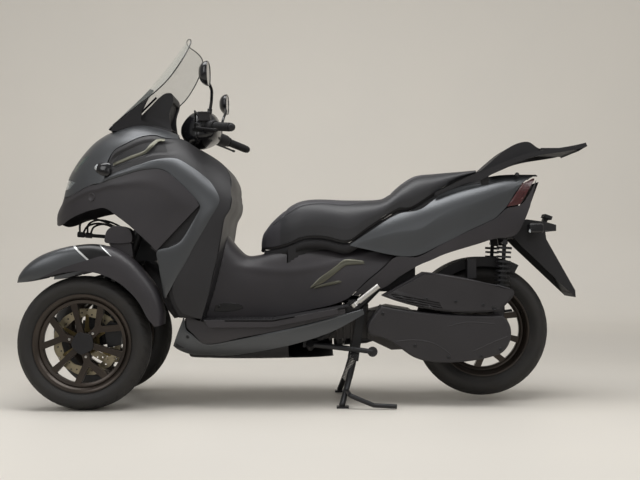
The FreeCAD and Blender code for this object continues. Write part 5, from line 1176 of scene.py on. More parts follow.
tail = {
    "covers": [((172, 643), (174, 648)), ((240, 627), (250, 699)), ((356, 603), (365, 770)),
               ((440, 603), (455, 789)), ((532, 645), (540, 848)), ((600, 678), (625, 884)),
               ((652, 705), (700, 896)), ((756, 753), (788, 922)), ((780, 775), (819, 923)),
               ((804, 799), (850, 925)), ((868, 900), (925, 928))],
    "lower": [((188, 440), (184, 446)), ((250, 458), (240, 500)), ((313, 476), (300, 550)),
              ((373, 520), (356, 599)), ((440, 560), (440, 599)), ((494, 583), (532, 645)),
              ((563, 612), (652, 705)), ((696, 652), (756, 753)), ((730, 663), (781, 773)),
              ((764, 672), (806, 795)), ((842, 684), (866, 811)), ((880, 740), (900, 850)),
              ((906, 800), (936, 914))],
    "lamp": [((808, 801), (874, 896)), ((830, 805), (903, 909)), ((864, 813), (922, 918)),
             ((880, 838), (930, 917))],
    "deck": [(640, 890), (700, 898), (788, 925), (850, 928), (900, 930), (946, 930)],
    "backPlate": [(884, 746), (944, 904), (947, 903), (887, 743)],
    "basePlate": [(826, 678), (842, 680), (884, 744), (887, 742), (845, 676), (826, 674)],
    "rows": 90, "columns": 40, "wall": 3.0, "seam": 2.2,
    "crease": 0.56, "creaseHalf": 0.42, "creaseHeight": 4.5,
}


# tail cover with a soft crease along its middle, above which the panel turns up to the light;
# lower panel, lamp and deck between the covers
def makeTail():
    rows, columns = tail["rows"], tail["columns"]
    share = np.linspace(0, 1, columns)
    crease = np.maximum(0, 1 - np.abs(share - tail["crease"]) / tail["creaseHalf"]) ** 1.2
    grid = lifted(sideGrid(tailForm, tail["covers"], rows, columns),
                  tail["creaseHeight"] * np.outer(fadedEnds(rows, 18, 10), crease), tailForm)
    makePiece("tail_cover_skins", skins(tailForm, grid), "paint", ("tail_covers",),
              thick=tail["wall"], edge=1.0)
    ribs = [(low, (high[0], high[1] - tail["seam"])) for low, high in tail["lower"]]
    makePiece("tail_lower_skins", skins(tailForm, sideGrid(tailForm, ribs, 90, 24)), "panel",
              ("tail_lower",), thick=tail["wall"], edge=1.0)
    plates = [prismPart(tail[key], -half, half) for key, half in (("backPlate", 95),
                                                                  ("basePlate", 118))]
    makePiece("tail_closing_plates", plates, "black", edge=0.8, closed=True)
    lens = lifted(crowned(tailForm, tail["lamp"], 30, 22, 3.0), 0.2, tailForm)
    makePiece("tail_lamp_lenses", skins(tailForm, lens), "lampRed", ("tail_lamp",), thick=12,
              edge=1.2)
    deck = faceOut(sheetPart(wrapGrid(tailForm, tail["deck"], 50, 44)), lambda p: p - [0, 0, 200])
    makePiece("tail_deck_skin", [deck], "black", ("tail_deck",), thick=3, edge=0.8)


seat = {
    "top": [(-194, 652), (-188, 686), (-172, 712), (-152, 739), (-107, 781), (-67, 812),
            (-22, 831), (43, 837), (152, 832), (254, 832), (302, 837), (331, 851), (396, 905),
            (448, 934), (525, 942), (690, 956)],
    "half": [(-194, 34), (-186, 48), (-172, 62), (-107, 88), (-22, 120), (100, 150), (200, 158),
             (300, 154), (400, 140), (520, 126), (620, 112), (690, 100)],
    "rows": 210, "columns": 92, "padLift": 14.0, "welt": 0.255, "weltSink": 2.6,
    "crossSeams": [(318, 7.0), (-118, 7.0)], "seamBend": 26.0, "seamSink": 2.4,
    "sidesFrom": -110.0, "frames": 14, "cap": 2.5,
    "cloth": {"quality": 4, "mass": 0.4, "tension_stiffness": 60, "compression_stiffness": 60,
              "bending_stiffness": 4, "vertex_group_mass": "pins", "use_pressure": True,
              "uniform_pressure_force": 1.4},
}


# cushion: every cross section is a crown, edge + (top - edge) * sin^0.8, over an upright side,
# with a sewn line along each side and one across at the step
def seatShape():
    rows, columns = seat["rows"], seat["columns"]
    x = np.linspace(-192, 690, rows)
    top = tableAt(seat["top"], x)
    low = tableAt(tunnel["seatLow"], x) + seat["padLift"]
    half = tableAt(seat["half"], x)
    edge = low + 0.25 * (top - low)
    a = np.linspace(0, math.pi, 241)[None, :]
    y = -half[:, None] * signedPower(np.cos(a), 0.7)
    z = edge[:, None] + (top - edge)[:, None] * np.abs(np.sin(a)) ** 0.8
    crown = respace(gridOf(x[:, None], y, z), columns)
    return x, low, half, crown


# depth of the sewn lines: a sum of bell curves, along each side and across at the two seams
def seatGrooves(x):
    share = np.linspace(0, 1, seat["columns"])[None, :]
    side = np.minimum(share, 1 - share)
    groove = (seat["weltSink"] * np.exp(-((side - seat["welt"]) / 0.010) ** 2)
              * smoothStep(-150, -100, x)[:, None])
    inside = smoothStep(seat["welt"] - 0.02, seat["welt"] + 0.02, side)
    for place, width in seat["crossSeams"]:
        bend = place + seat["seamBend"] * (1 - (2 * np.abs(share - 0.5)) ** 2)
        groove = groove + seat["seamSink"] * inside * np.exp(-((x[:, None] - bend) / width) ** 2)
    return groove


# row of the cushion's grid that lies under the welt
def weltRow():
    return int(round(seat["welt"] * (seat["columns"] - 1)))


# cushion: the crown less its sewn lines, closed by a flat underside and a fan at each end
def makeSeat():
    x, low, half, crown = seatShape()
    n = normalsOf(crown)
    n *= np.sign(n[:, seat["columns"] // 2, 2].mean())
    shape = crown - n * seatGrooves(x)[..., None]
    share = np.linspace(-0.97, 0.97, 24)[None, :]
    under = gridOf(x[:, None], half[:, None] * share, low[:, None])
    ring = np.concatenate([shape, under[:, ::-1], shape[:, :1]], 1)
    v, f, uv = sheetPart(ring)
    parts = [(v, f.tolist(), uv)]
    for row in (0, -1):
        loop = ring[row, :-1]
        count = len(loop)
        faces = [[i, (i + 1) % count, count] for i in range(count)]
        parts.append((np.concatenate([loop, [loop.mean(0)]]), faces, np.zeros((count + 1, 2))))
    piece = makePiece("seat_cushion", parts, "seat", ("seat_pad",), body="seat", sharp=70,
                      closed=True)
    swellSeat(piece)
    piece.data.materials.append(finishes["seatSide"])
    colourSeatSides(piece)
    line = shape[12:-4, weltRow()] + n[12:-4, weltRow()] * 0.9
    makePiece("seat_welts", bothSides(pipePart(line[::2], 1.5, 8)), "seatSide", body="seat",
              closed=True)


# coordinates that a mesh's points or faces hold, as rows of three
def rowsOf(collection, attribute):
    flat = np.empty(len(collection) * 3)
    collection.foreach_get(attribute, flat)
    return flat.reshape(-1, 3)


# air pressure inside the sewn cover: the top swells a little between its pinned seams, and
# no point moves further than the cap
def swellSeat(piece):
    mesh = piece.data
    rest = rowsOf(mesh.vertices, "co")
    x = rest[:, 0] / mm
    height = rest[:, 2] / mm - tableAt(tunnel["seatLow"], x) - seat["padLift"]
    groove = np.zeros(len(rest))
    for place, _ in seat["crossSeams"]:
        groove = np.maximum(groove, np.exp(-((x - place - 18) / 22.0) ** 2))
    held = np.clip(1.0 - smoothStep(8, 40, height) + 0.8 * groove, 0, 1)
    pins = piece.vertex_groups.new(name="pins")
    for i, weight in enumerate(held):
        pins.add([i], float(weight), "REPLACE")
    cloth = piece.modifiers.new("cloth", "CLOTH")
    for key, value in seat["cloth"].items():
        setattr(cloth.settings, key, value)
    cloth.settings.effector_weights.gravity = 0
    scene = bpy.context.scene
    for step in range(1, seat["frames"] + 1):
        scene.frame_set(step)
    swollen = piece.evaluated_get(bpy.context.evaluated_depsgraph_get())
    move = rowsOf(swollen.to_mesh().vertices, "co") - rest
    swollen.to_mesh_clear()
    size = np.linalg.norm(move, axis=1, keepdims=True)
    move *= np.minimum(1, seat["cap"] * mm / np.maximum(size, 1e-9))
    piece.modifiers.remove(cloth)
    scene.frame_set(1)
    mesh.vertices.foreach_set("co", (rest + move).ravel())
    mesh.update()
    print("seat swollen, largest move", round(float(size.max()) / mm, 1), "mm before the cap")


# faces below the welt take the smoother side vinyl
def colourSeatSides(piece):
    centre = rowsOf(piece.data.polygons, "center") / mm
    x, low, half, crown = seatShape()
    line = np.interp(centre[:, 0], x, crown[:, weltRow(), 2])
    below = (centre[:, 2] < line) & (centre[:, 0] > seat["sidesFrom"])
    piece.data.polygons.foreach_set("material_index", below.astype(np.int32))


wheel = {
    "turns": 540, "across": 64, "bead": 178.3, "seatShare": 0.70, "wideHalf": 65,
    "blocksWide": 36, "blocks": 34, "slant": 0.0046, "grooveDepth": 3.6, "grooveHalf": 2.6,
}


# lower and upper corner and middle of a node's box, in mm
def boxOf(node):
    low, high = [np.array(corner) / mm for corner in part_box(node)]
    return low, high, (low + high) / 2


# grid of points at a radius and a place y along the axle, turned about the centre
def turned(centre, radius, y, turn):
    return gridOf(centre[0] + radius * np.cos(turn), centre[1] + y,
                  centre[2] + radius * np.sin(turn))


# tyre: a smooth section turned about the axle, its tread sunk by slanted grooves:
# depth = groove depth * smooth step of the distance to the nearest slanted line
def makeTyre(name, body):
    low, high, centre = boxOf("tyre_" + name)
    radius, half = (high[2] - low[2]) / 2, (high[1] - low[1]) / 2
    bead, seatHalf = wheel["bead"], half * wheel["seatShare"]
    tall = radius - bead
    section = [(bead, -seatHalf + 2), (bead + 6, -seatHalf - 1), (bead + 15, -seatHalf - 3.5),
               (bead + tall * 0.45, -half + 0.6), (bead + tall * 0.66, -half * 0.955),
               (bead + tall * 0.82, -half * 0.76), (radius - 5.0, -half * 0.47),
               (radius - 1.0, -half * 0.2), (radius, 0)]
    line = softLine(section + [(r, -y) for r, y in reversed(section[:-1])], wheel["across"])[None]
    turn = np.linspace(0, 2 * math.pi, wheel["turns"] + 1)[:, None]
    r, y = line[..., 0], line[..., 1]
    pitch = 2 * math.pi / wheel["blocksWide" if half > wheel["wideHalf"] else "blocks"]
    slant = turn + wheel["slant"] * np.abs(y) * np.where(y > 0, 1, -1) + pitch / 2 * (y > 0)
    to = np.abs((slant / pitch) % 1 - 0.5) * pitch * radius
    reach = smoothStep(4, 10, np.abs(y)) * smoothStep(half * 0.93, half * 0.80, np.abs(y))
    groove = (1 - smoothStep(wheel["grooveHalf"] * 0.55, wheel["grooveHalf"] * 1.25, to)) * reach
    ring = 1 - smoothStep(0.8, 2.2, np.abs(np.abs(y) - half * 0.30))
    groove = np.maximum(groove, ring + 0 * turn)
    # two fine raised rings on each side wall
    raised = (0.9 * np.exp(-((r - bead - 24) / 2.0) ** 2)
              + 0.7 * np.exp(-((r - bead - 58) / 2.5) ** 2))
    worn = smoothStep(radius - 30, radius - 16, r)
    side = np.clip(y * (1 + raised / half * (1 - worn)), -half, half)
    outside = turned(centre, r - wheel["grooveDepth"] * groove * worn, side, turn)
    inner = np.array([[(bead, seatHalf - 2), (bead + 3, 0), (bead, -seatHalf + 2)]])
    parts = [sheetPart(outside), sheetPart(turned(centre, inner[..., 0], inner[..., 1], turn))]
    makePiece("tyre_" + name + "_tread", parts, "tyre", ("tyre_" + name,), body=body, sharp=50,
              closed=True)


disc = {
    "band": 34.0, "lip": 1.6, "waves": 12, "wave": 1.5, "innerWave": 1.2, "steps": 540, "rings": 15,
    "holes": 36, "holeRadius": 3.6, "holeCircle": 17.0, "holeStep": 8.5, "armEnd": (36, 26),
    "button": [(0, -3.4), (5.4, -3.4), (6.4, -2.6), (6.4, 2.6), (5.4, 3.4), (0, 3.4)],
    "buttonIn": 31.0, "hub": [(37.5, -2.2), (50, -2.2), (50, 2.2), (37.5, 2.2), (37.5, -2.2)],
}


# outline closed by the mirror image of its upper half
def mirrored(half):
    return [(u, -w) for u, w in half] + half[::-1]


# prism along the axle whose outline is turned by an angle about the centre
def turnedPrism(outline, centre, degrees, y0, y1):
    c, s = math.cos(math.radians(degrees)), math.sin(math.radians(degrees))
    return prismPart([(centre[0] + u * c - w * s, centre[2] + u * s + w * c) for u, w in outline],
                     y0, y1)


# drilled brake disc: a flat ring with wavy edges in polar steps, whose holes are trimmed to
# true circles, on a carrier with six arms
def makeDisc(name, body):
    node = "disc_" + name
    low, high, centre = boxOf(node)
    radius = (high[2] - low[2]) / 2
    turn = np.linspace(0, 2 * math.pi, disc["steps"] + 1)[:, None]
    outer = radius - disc["lip"] - disc["wave"] * np.cos(disc["waves"] * turn)
    inner = radius - disc["band"] + disc["innerWave"] * np.cos(disc["waves"] * turn)
    r = inner + (outer - inner) * np.linspace(0, 1, disc["rings"])[None, :]
    v, f, uv = sheetPart(gridOf(r * np.cos(turn), 0, r * np.sin(turn)))
    k = np.arange(disc["holes"])
    angle = 2 * math.pi / disc["holes"] * k
    circle = radius - disc["holeCircle"] + disc["holeStep"] * (1 - k % 3)
    holes = np.stack([circle * np.cos(angle), circle * np.sin(angle)], -1)
    middle = v[f].mean(1)[:, [0, 2]]
    gone = (np.linalg.norm(middle[:, None] - holes, axis=2) < disc["holeRadius"]).any(1)
    edge = np.intersect1d(f[gone].ravel(), f[~gone].ravel())
    flat = v[edge][:, [0, 2]]
    near = holes[np.linalg.norm(flat[:, None] - holes, axis=2).argmin(1)]
    away = flat - near
    away = away / np.maximum(np.linalg.norm(away, axis=1, keepdims=True), 1e-6) * disc["holeRadius"]
    v[edge] = np.insert(near + away, 1, 0, axis=1)
    ring = faceOut((v + [centre[0], high[1], centre[2]], f[~gone], uv), lambda p: p - [0, 100, 0])
    makePiece(node + "_ring", [ring], "disc", body=body, thick=high[1] - low[1], edge=0.3)
    arm = mirrored([(44, 13), (58, 8), (radius - disc["armEnd"][0], 7),
                    (radius - disc["armEnd"][1], 9)])
    parts = []
    for degrees in range(30, 390, 60):
        a = math.radians(degrees)
        place = centre + (radius - disc["buttonIn"]) * np.array([math.cos(a), 0, math.sin(a)])
        parts += [turnedPrism(arm, centre, degrees, low[1] + 0.4, high[1] - 0.4),
                  lathePart(disc["button"], place, (0, 1, 0), 16)]
    parts.append(lathePart(disc["hub"], centre, (0, 1, 0), 48))
    makePiece(node + "_carrier", parts, "gold", (node,), edge=0.5, body=body, closed=True)


rim = {
    "outside": [(192, 0), (192, 4), (184, 5), (178, 8)],  # radius, distance from the edge
    "inside": [(188, 0), (180, 6), (172, 14), (167, 24)], "well": 166, "seatIn": (155, 157, 169),
    "fork": [(38, 15), (74, 14), (141.8, 67.8), (157, 46.8), (97, 2)],
    "single": [(36, 13), (100, 10), (160, 14)], "hub": 37,
    "first": 43.5, "deep": 22.0, "capRadius": 50.0, "boltAt": 54.0,
}


# cast wheel: a barrel turned about the axle, three forked spokes with a plain one between
# each pair, a five-cornered cap over the hub and three bolts
def makeRim(name, body, out, width, hubEnd):
    centre = boxOf("tyre_" + name)[2]
    half = width / 2
    barrel = ([(r, d - half) for r, d in rim["outside"]]
              + [(r, half - d) for r, d in rim["outside"][::-1] + rim["inside"]]
              + [(rim["well"], 0)] + [(r, d - half) for r, d in rim["inside"][::-1]]
              + [(rim["outside"][0][0], -half)])
    a = -34 if out < 0 else 10
    b = a + rim["deep"]
    low, middle, top = rim["seatIn"]
    band = [(low, a + 2), (middle, a), (top, a - 3), (top, b + 3), (middle, b), (low, b - 2),
            (low, a + 2)]
    r = rim["hub"]
    hub = [(0, -36), (r - 2, -36), (r, -34), (r, hubEnd), (0, hubEnd)]
    y0, y1 = centre[1] + a, centre[1] + b
    parts = [lathePart(barrel, centre, (0, 1, 0), 120), lathePart(band, centre, (0, 1, 0), 120),
             lathePart(hub, centre, (0, 1, 0), 64)]
    for k in range(3):
        for key, cut, degrees in (("fork", 7, 0), ("single", 4, 60)):
            parts.append(turnedPrism(roundCorners(mirrored(rim[key]), cut), centre,
                                     rim["first"] + degrees + 120 * k, y0, y1))
    makePiece("rim_" + name + "_cast", parts, "bronze", ("rim_" + name,), edge=3.0, body=body,
              closed=True, segments=3)
    face = y0 if out < 0 else y1
    turns = np.radians(rim["first"] + 72 * np.arange(5))
    corners = rim["capRadius"] * np.stack([np.cos(turns), np.sin(turns)], -1)
    cap = turnedPrism(roundCorners(corners, 18), centre, 0,
                      *sorted((face + out * 5, face - out * 6)))
    makePiece("rim_" + name + "_cap", [cap], "black", edge=2.5, body=body, closed=True, segments=3)
    bolts = []
    for degrees in rim["first"] + 120 * np.arange(3):
        a = math.radians(degrees)
        place = (centre[0] + rim["boltAt"] * math.cos(a), face + out * 0.5,
                 centre[2] + rim["boltAt"] * math.sin(a))
        bolts.append(screwPart(place, (0, out, 0), 5.5, 4.0))
    makePiece("rim_" + name + "_bolts", bolts, "silver", body=body, closed=True)


fender = {
    "rows": [(138, 350, 354, 20), (134, 330, 366, 42), (127, 308, 376, 57), (118, 292, 381, 66),
             (108, 284, 381, 70), (95, 281, 383, 70), (82, 280, 389, 70), (72, 279, 387, 70),
             (60, 278, 377, 70), (48, 276, 362, 70), (35, 275, 352, 69), (22, 275, 335, 67),
             (13, 290, 318, 62)],
    "painted": [(-1200, 470), (-1030, 516), (-937, 558), (-794, 601), (-752, 600), (-812, 660),
                (-850, 760), (-1250, 760)],
    "wall": 4.0, "count": 110, "across": 60,
}


# mudguard: at each angle round the axle, radius = edge + (crown - edge) * sin^0.6 across it;
# the painted outline parts its skin from the bare flap behind the wheel
def makeFender(name):
    centre = boxOf("tyre_" + name)[2]
    rows = np.array(fender["rows"], float)
    reach = np.cumsum(np.r_[0, np.abs(np.diff(rows[:, 0])) * 5.5 + np.abs(np.diff(rows[:, 2]))])
    goal = np.linspace(0, reach[-1], fender["count"])
    degrees, edge, crown, half = [tableAt(np.c_[reach, rows[:, c]], goal)[:, None]
                                  for c in range(4)]
    a = np.linspace(0, math.pi, 181)[None, :]
    y = -half * signedPower(np.cos(a), 0.6)
    grid = turned(centre, edge + (crown - edge) * np.abs(np.sin(a)) ** 0.6, y, np.radians(degrees))
    part = faceOut(sheetPart(respace(grid, fender["across"])), lambda p: 0 * p + centre)
    for label, finish, painted in (("skin", "patchPaint", True), ("flap", "panel", False)):
        makePiece("fender_" + label + "_" + name,
                  [trim(part, fender["painted"], fromSide, sameY, painted)], finish,
                  ("fender_" + name,) if painted else (), thick=fender["wall"], edge=1.2,
                  body="fork_" + name + "_body")


# tyre, disc and cast wheel of each wheel, and the front mudguards
def makeWheels():
    for name in ("left", "right", "rear"):
        makeTyre(name, "wheel_" + name)
        makeDisc(name, "wheel_" + name)
    for name, out, width, hubEnd in (("left", -1, 100.0, 36.0), ("right", 1, 100.0, 36.0),
                                     ("rear", -1, 116.0, 84.0)):
        makeRim(name, "wheel_" + name, out, width, hubEnd)
    for name in ("left", "right"):
        makeFender(name)


# covers and hoses of the front axle
axle = {
    "cover": [(-798, 664), (-790, 700), (-768, 718), (-732, 720), (-700, 710), (-688, 688),
              (-687, 654), (-742, 648), (-794, 652)],
    "mount": [(-784, 653), (-692, 653), (-686, 604), (-694, 566), (-722, 596), (-772, 636)],
    "coverY": (-238, -178), "mountY": (-230, -186),
    "tube": [(-950, -60, 690), (-776, -60, 676)],
    "hoses": [[(-942, -60, 698), (-938, -62, 736), (-900, -66, 754), (-842, -72, 744),
               (-770, -78, 706)],
              [(-930, -60, 692), (-912, -50, 724), (-868, -44, 736), (-812, -50, 722),
               (-764, -58, 694)]],
}


# rounded plastic cover above each fork, on a mount over the mudguard, with two hoses inboard
def makeAxleCovers():
    for side, name in ((-1, "left"), (1, "right")):
        cover = prismPart(roundCorners(axle["cover"], 12), *axle["coverY"])
        mount = prismPart(roundCorners(axle["mount"], 8), *axle["mountY"])
        parts = [cover, mount] if side < 0 else [mirrorPart(cover), mirrorPart(mount)]
        makePiece("fork_cover_" + name, parts, "panel", edge=7.0, body="fork_" + name + "_body",
                  closed=True, segments=4)
    start, end = np.array(axle["tube"], float)
    rod = pipePart([start, end], 7.5, 20)
    cap = pipePart([start, start + (end - start) * 0.16], 11.5, 20)
    hoses = [pipePart(softLine(path, 40), 4.2, 12) for path in axle["hoses"]]
    makePiece("axle_hoses", bothSides(rod, cap, *hoses), "rubber", edge=0.8, slot="black_plastic",
              sharp=50, closed=True)


controls = {
    "cover": {"low": [(-534, 1121), (-528, 1104), (-508, 1068), (-480, 1054), (-440, 1054),
                      (-400, 1070), (-374, 1092), (-368, 1118)],
              "mid": [(-534, 1124), (-508, 1104), (-480, 1098), (-440, 1100), (-400, 1110),
                      (-372, 1120), (-368, 1121)],
              "top": [(-534, 1127), (-528, 1148), (-508, 1178), (-480, 1200), (-440, 1208),
                      (-400, 1198), (-374, 1168), (-368, 1124)],
              "half": [(-534, 1), (-528, 36), (-508, 68), (-480, 98), (-440, 118), (-400, 112),
                       (-374, 80), (-368, 1)],
              "fullTop": 2.4, "fullLow": 2.6},
    "bar": ((-392, -190, 1120), (104, -160, -28)), "coverX": (-534, -368), "coverSeam": -452.0,
    "seamDepth": 1.8, "grip": 16.3, "ribHeight": 0.9,
    "pod": [(-0.16, 15), (-0.12, 22), (-0.04, 25.5), (0.12, 26), (0.22, 25), (0.26, 20)],
    "tank": ((-407.8, -199, 1153), (46, 52, 34)), "neck": ((-406.8, -199, 1128), (24, 28, 24)),
    "lid": ((-407.8, -199, 1170), (50, 56, 5)), "lidScrews": [(-407.8, -219, 1172.4),
                                                            (-407.8, -179, 1172.4)],
    "barEnd": [13, 14.5, 14.5, 14, 12], "leverOff": [(0.02, -46, -4), (0.30, -60, -6),
                                                    (0.98, -54, -10)],
    "leverWidth": [(0, 7.5), (0.2, 7.5), (0.5, 6), (0.93, 5.6), (0.97, 7.6), (1, 6.5)],
    "hoses": [[(-430, -196, 1152), (-448, -188, 1178), (-455, -142, 1182), (-458, -100, 1150)],
              [(-428, -176, 1118), (-448, -160, 1136), (-458, -126, 1126), (-462, -88, 1098)]],
    "stem": [(-388, -205, 1173), (-380, -212, 1212), (-372, -262, 1252), (-386, -310, 1284)],
    "collar": [(-388.4, -204.8, 1166), (-387, -206, 1186)],
    "mirrorAt": (-383, -345, 1298), "mirrorSize": (62, 46),
    "shell": [(-29, 0.0), (-28, 0.24), (-26, 0.46), (-20, 0.70), (-12, 0.87), (-3, 0.965), (4, 1.0),
              (8, 0.99), (9, 0.955), (6.5, 0.925)],
    "glass": [(6.6, 0.925), (7.0, 0.5), (7.2, 0.0)],
}


# point on the bar's left run: 0 at its bend, 1 at the grip's end
def barPoint(share):
    bend, run = np.array(controls["bar"], float)
    return bend + np.asarray(share)[..., None] * run


# rings of an oval mirror: each is the outline at its depth and share of the full size
def ovalRings(rings):
    x0, y0, z0 = controls["mirrorAt"]
    wide, tall = controls["mirrorSize"]
    a = np.linspace(0, 2 * math.pi, 73)[None, :]
    depth, size = np.array(rings, float).T[:, :, None]
    return gridOf(x0 + depth, y0 + wide * size * signedPower(np.cos(a), 0.8),
                  z0 + tall * size * signedPower(np.sin(a), 0.8))


# cover over the bar's middle with a sunk seam, then switches, reservoirs, grips, levers,
# hoses and mirrors along the left run of the bar, and their mirror images
def makeControls():
    x = np.linspace(*controls["coverX"], 60)[:, None]
    grid = formPoint(controls["cover"], x, np.linspace(0, 2 * math.pi, 97)[None, :])
    seam = controls["seamDepth"] * np.exp(-((x - controls["coverSeam"]) / 1.8) ** 2)
    grid[..., 1:] += (np.array([0, 1100]) - grid[..., 1:]) * seam[..., None] / 90
    makePiece("handlebar_shell", [sheetPart(grid)], "gloss", ("handlebar_cover",), body="bars",
              slot="black_plastic", closed=True, sharp=60)
    share = np.linspace(-0.16, 0.26, 26)
    pod = pipePart(barPoint(share), tableAt(controls["pod"], share), 28)
    makePiece("switch_housings",
              bothSides(pod, boxPart(*controls["tank"]), boxPart(*controls["neck"])), "black",
              ("hand_controls",), edge=2.5, body="bars", sharp=50, closed=True)
    makePiece("reservoir_lids", bothSides(boxPart(*controls["lid"])), "gloss", edge=1.5,
              body="bars", closed=True)
    screws = [screwPart(place, (0, 0, 1), 3.6, 1.6) for place in controls["lidScrews"]]
    makePiece("reservoir_screws", bothSides(*screws), "silver", body="bars", closed=True)
    share = np.linspace(0.28, 1.0, 180)
    ribs = controls["ribHeight"] * (np.sin(share * 260) > 0) * ((share > 0.34) & (share < 0.94))
    flange = 5.0 * (share < 0.315)
    grip = pipePart(barPoint(share), controls["grip"] + ribs + flange, 32)
    makePiece("grips", bothSides(grip), "rubber", body="bars", sharp=50, closed=True)
    weight = pipePart(barPoint(np.linspace(1.0, 1.06, 5)), controls["barEnd"], 28)
    root, knee, tip = [barPoint(along) + [ahead, 0, down]
                       for along, ahead, down in controls["leverOff"]]
    path = softLine([root + [34, 6, 4], root, knee, (knee + tip) / 2, tip], 60)
    width = np.interp(np.linspace(0, 1, 60), *np.array(controls["leverWidth"]).T)
    lever = pipePart(path, width, 18, flatness=0.72)
    makePiece("brake_levers", bothSides(lever, weight), "steel", body="bars", sharp=60, closed=True)
    hoses = [pipePart(softLine(path, 30), 4.0, 12) for path in controls["hoses"]]
    makePiece("handlebar_hoses", bothSides(*hoses), "rubber", body="bars", closed=True)
    stem = pipePart(bentLine(controls["stem"], 18, 8), 6.0, 18, up=(1, 0, 0))
    collar = pipePart(controls["collar"], 9.5, 18, up=(1, 0, 0))
    shell = sheetPart(ovalRings(controls["shell"]))
    makePiece("mirror_bodies", bothSides(shell, stem, collar), "gloss", ("mirrors",), edge=0.4,
              body="bars", sharp=55, closed=True)
    glass = faceOut(sheetPart(ovalRings(controls["glass"])), lambda p: p - [100, 0, 0])
    makePiece("mirror_glasses", bothSides(glass), "mirror", body="bars")


# marks on the belt case and the air cleaner, given as (x, z) of the left side
cases = {
    "louvres": [[(335, 451), (430, 419), (516, 390)], [(325, 440), (420, 409), (508, 380)],
                [(316, 427), (404, 399), (488, 374)]],
    "airBeads": [[(470, 533), (600, 512), (760, 480)], [(600, 528), (700, 500), (806, 468)]],
    "beltBeads": [[(351, 262), (420, 268), (493, 257), (540, 232), (570, 208)],
                  [(560, 322), (634, 338), (742, 332)], [(656, 222), (730, 256), (796, 282)]],
    "airScrews": [(472, 431), (588, 421), (696, 408)], "airHole": (739, 396),
    "beltScrews": [(300, 250), (427, 246), (560, 200), (690, 204), (766, 232), (300, 372)],
    "bodyScrews": [(("lower_skirts",), -466, 285), (("tail_lower",), 304, 560),
                   (("centre_tunnel",), -360, 398)],
}


nodeTrees = {}


# where a ray from the left first meets any of the named nodes, in mm, or nothing
def leftFace(names, x, z):
    places = []
    for node in names:
        if node not in nodeTrees:
            mesh = nodes[node].data
            nodeTrees[node] = BVHTree.FromPolygons([v.co for v in mesh.vertices],
                                                   [tuple(p.vertices) for p in mesh.polygons])
        place = nodeTrees[node].ray_cast((x * mm, -0.6, z * mm), (0, 1, 0))[0]
        if place is not None:
            places.append(place.y / mm)
    return min(places) if places else None


# thin beads that follow the left face of some nodes along lines of (x, z)
def beadsOn(names, lines, radius, proud):
    beads = []
    for line in lines:
        points = [(x, leftFace(names, x, z), z) for x, z in softLine(line, 40)]
        points = np.array([p for p in points if p[1] is not None], float)
        if len(points) > 5:
            padded = np.pad(points[:, 1], 2, mode="edge")
            points[:, 1] = np.convolve(padded, np.ones(5) / 5, "valid")
            beads.append(pipePart(points + [0, radius - proud, 0], radius, 12))
    print("beads made:", len(beads), "of", len(lines))
    return beads


# louvres, beads and screws of the cases, dark lines between the louvres and a dark disc in the air
# hole as painted shade for those recesses, and a few body screws
def makeCaseMarks():
    both = ("air_cleaner", "transmission_case")
    ribs = beadsOn(both, cases["louvres"], 4.2, 2.6) + beadsOn(both, cases["airBeads"], 5.0, 1.2)
    ribs += beadsOn(both, cases["beltBeads"], 4.0, 1.1)
    makePiece("case_beads", ribs, "case", sharp=60, closed=True)
    # dark gloss beads just above each louvre and a dark disc over the air hole: painted shade for
    # the recesses between the slats and inside the hole
    lower = [[(x + 4, z + 6.5) for x, z in line] for line in cases["louvres"]]
    shadeLines = beadsOn(both, lower, 2.6, 0.8)
    x, z = cases["airHole"]
    hole = lathePart([(0, 0.6), (7, 0.6), (8.5, 1.2), (9.5, -1), (0, -1)],
                     (x, leftFace(both, x, z), z), (0, -1, 0), 24)
    makePiece("case_painted_shade_gaps", shadeLines + [hole], "gloss", closed=True)
    marks = [(both, x, z) for x, z in cases["airScrews"] + cases["beltScrews"]]
    screws = []
    for names, x, z in marks + cases["bodyScrews"]:
        y = leftFace(names, x, z)
        if y is not None:
            screws.append(screwPart((x, y, z), (0, -1, 0), 7.0, 2.6))
    makePiece("case_screws", screws, "steel", closed=True)


# stand spring, lamp over the plate, tail knob, indicator lenses, and a black sheet on the tunnel
# that paints the shade in its slot
small = {
    "spring": ((186, -112, 184), (148, -112, 100)), "springTurns": 15, "springRadius": 9.0,
    "lampBoxes": [((1004, 0, 764), (34, 56, 16), -20), ((994, 0, 748), (16, 40, 26), -20)],
    "knob": [(0, 9), (7, 9), (9, 6), (9.5, -4), (0, -4)], "knobAt": (852, -122, 930),
    "knobAxis": (0, -0.9, 0.45), "crescent": ((903, -146, 712), (9, 8, 34), -20),
    "slot": [((-376, 380), (-372, 402)), ((-340, 376), (-340, 410)), ((-290, 380), (-290, 408)),
             ((-262, 388), (-262, 400))],
}


# wire wound round an axis between two points
def coilPart(start, end, turns, radius, wire):
    axis, u, w = acrossAxis(np.subtract(end, start))
    share = np.linspace(0, 1, turns * 20)[:, None]
    a = share * turns * 2 * math.pi
    path = (np.array(start) + share * np.subtract(end, start)
            + radius * (np.cos(a) * u + np.sin(a) * w))
    return pipePart(path, wire, 8, up=tuple(axis))


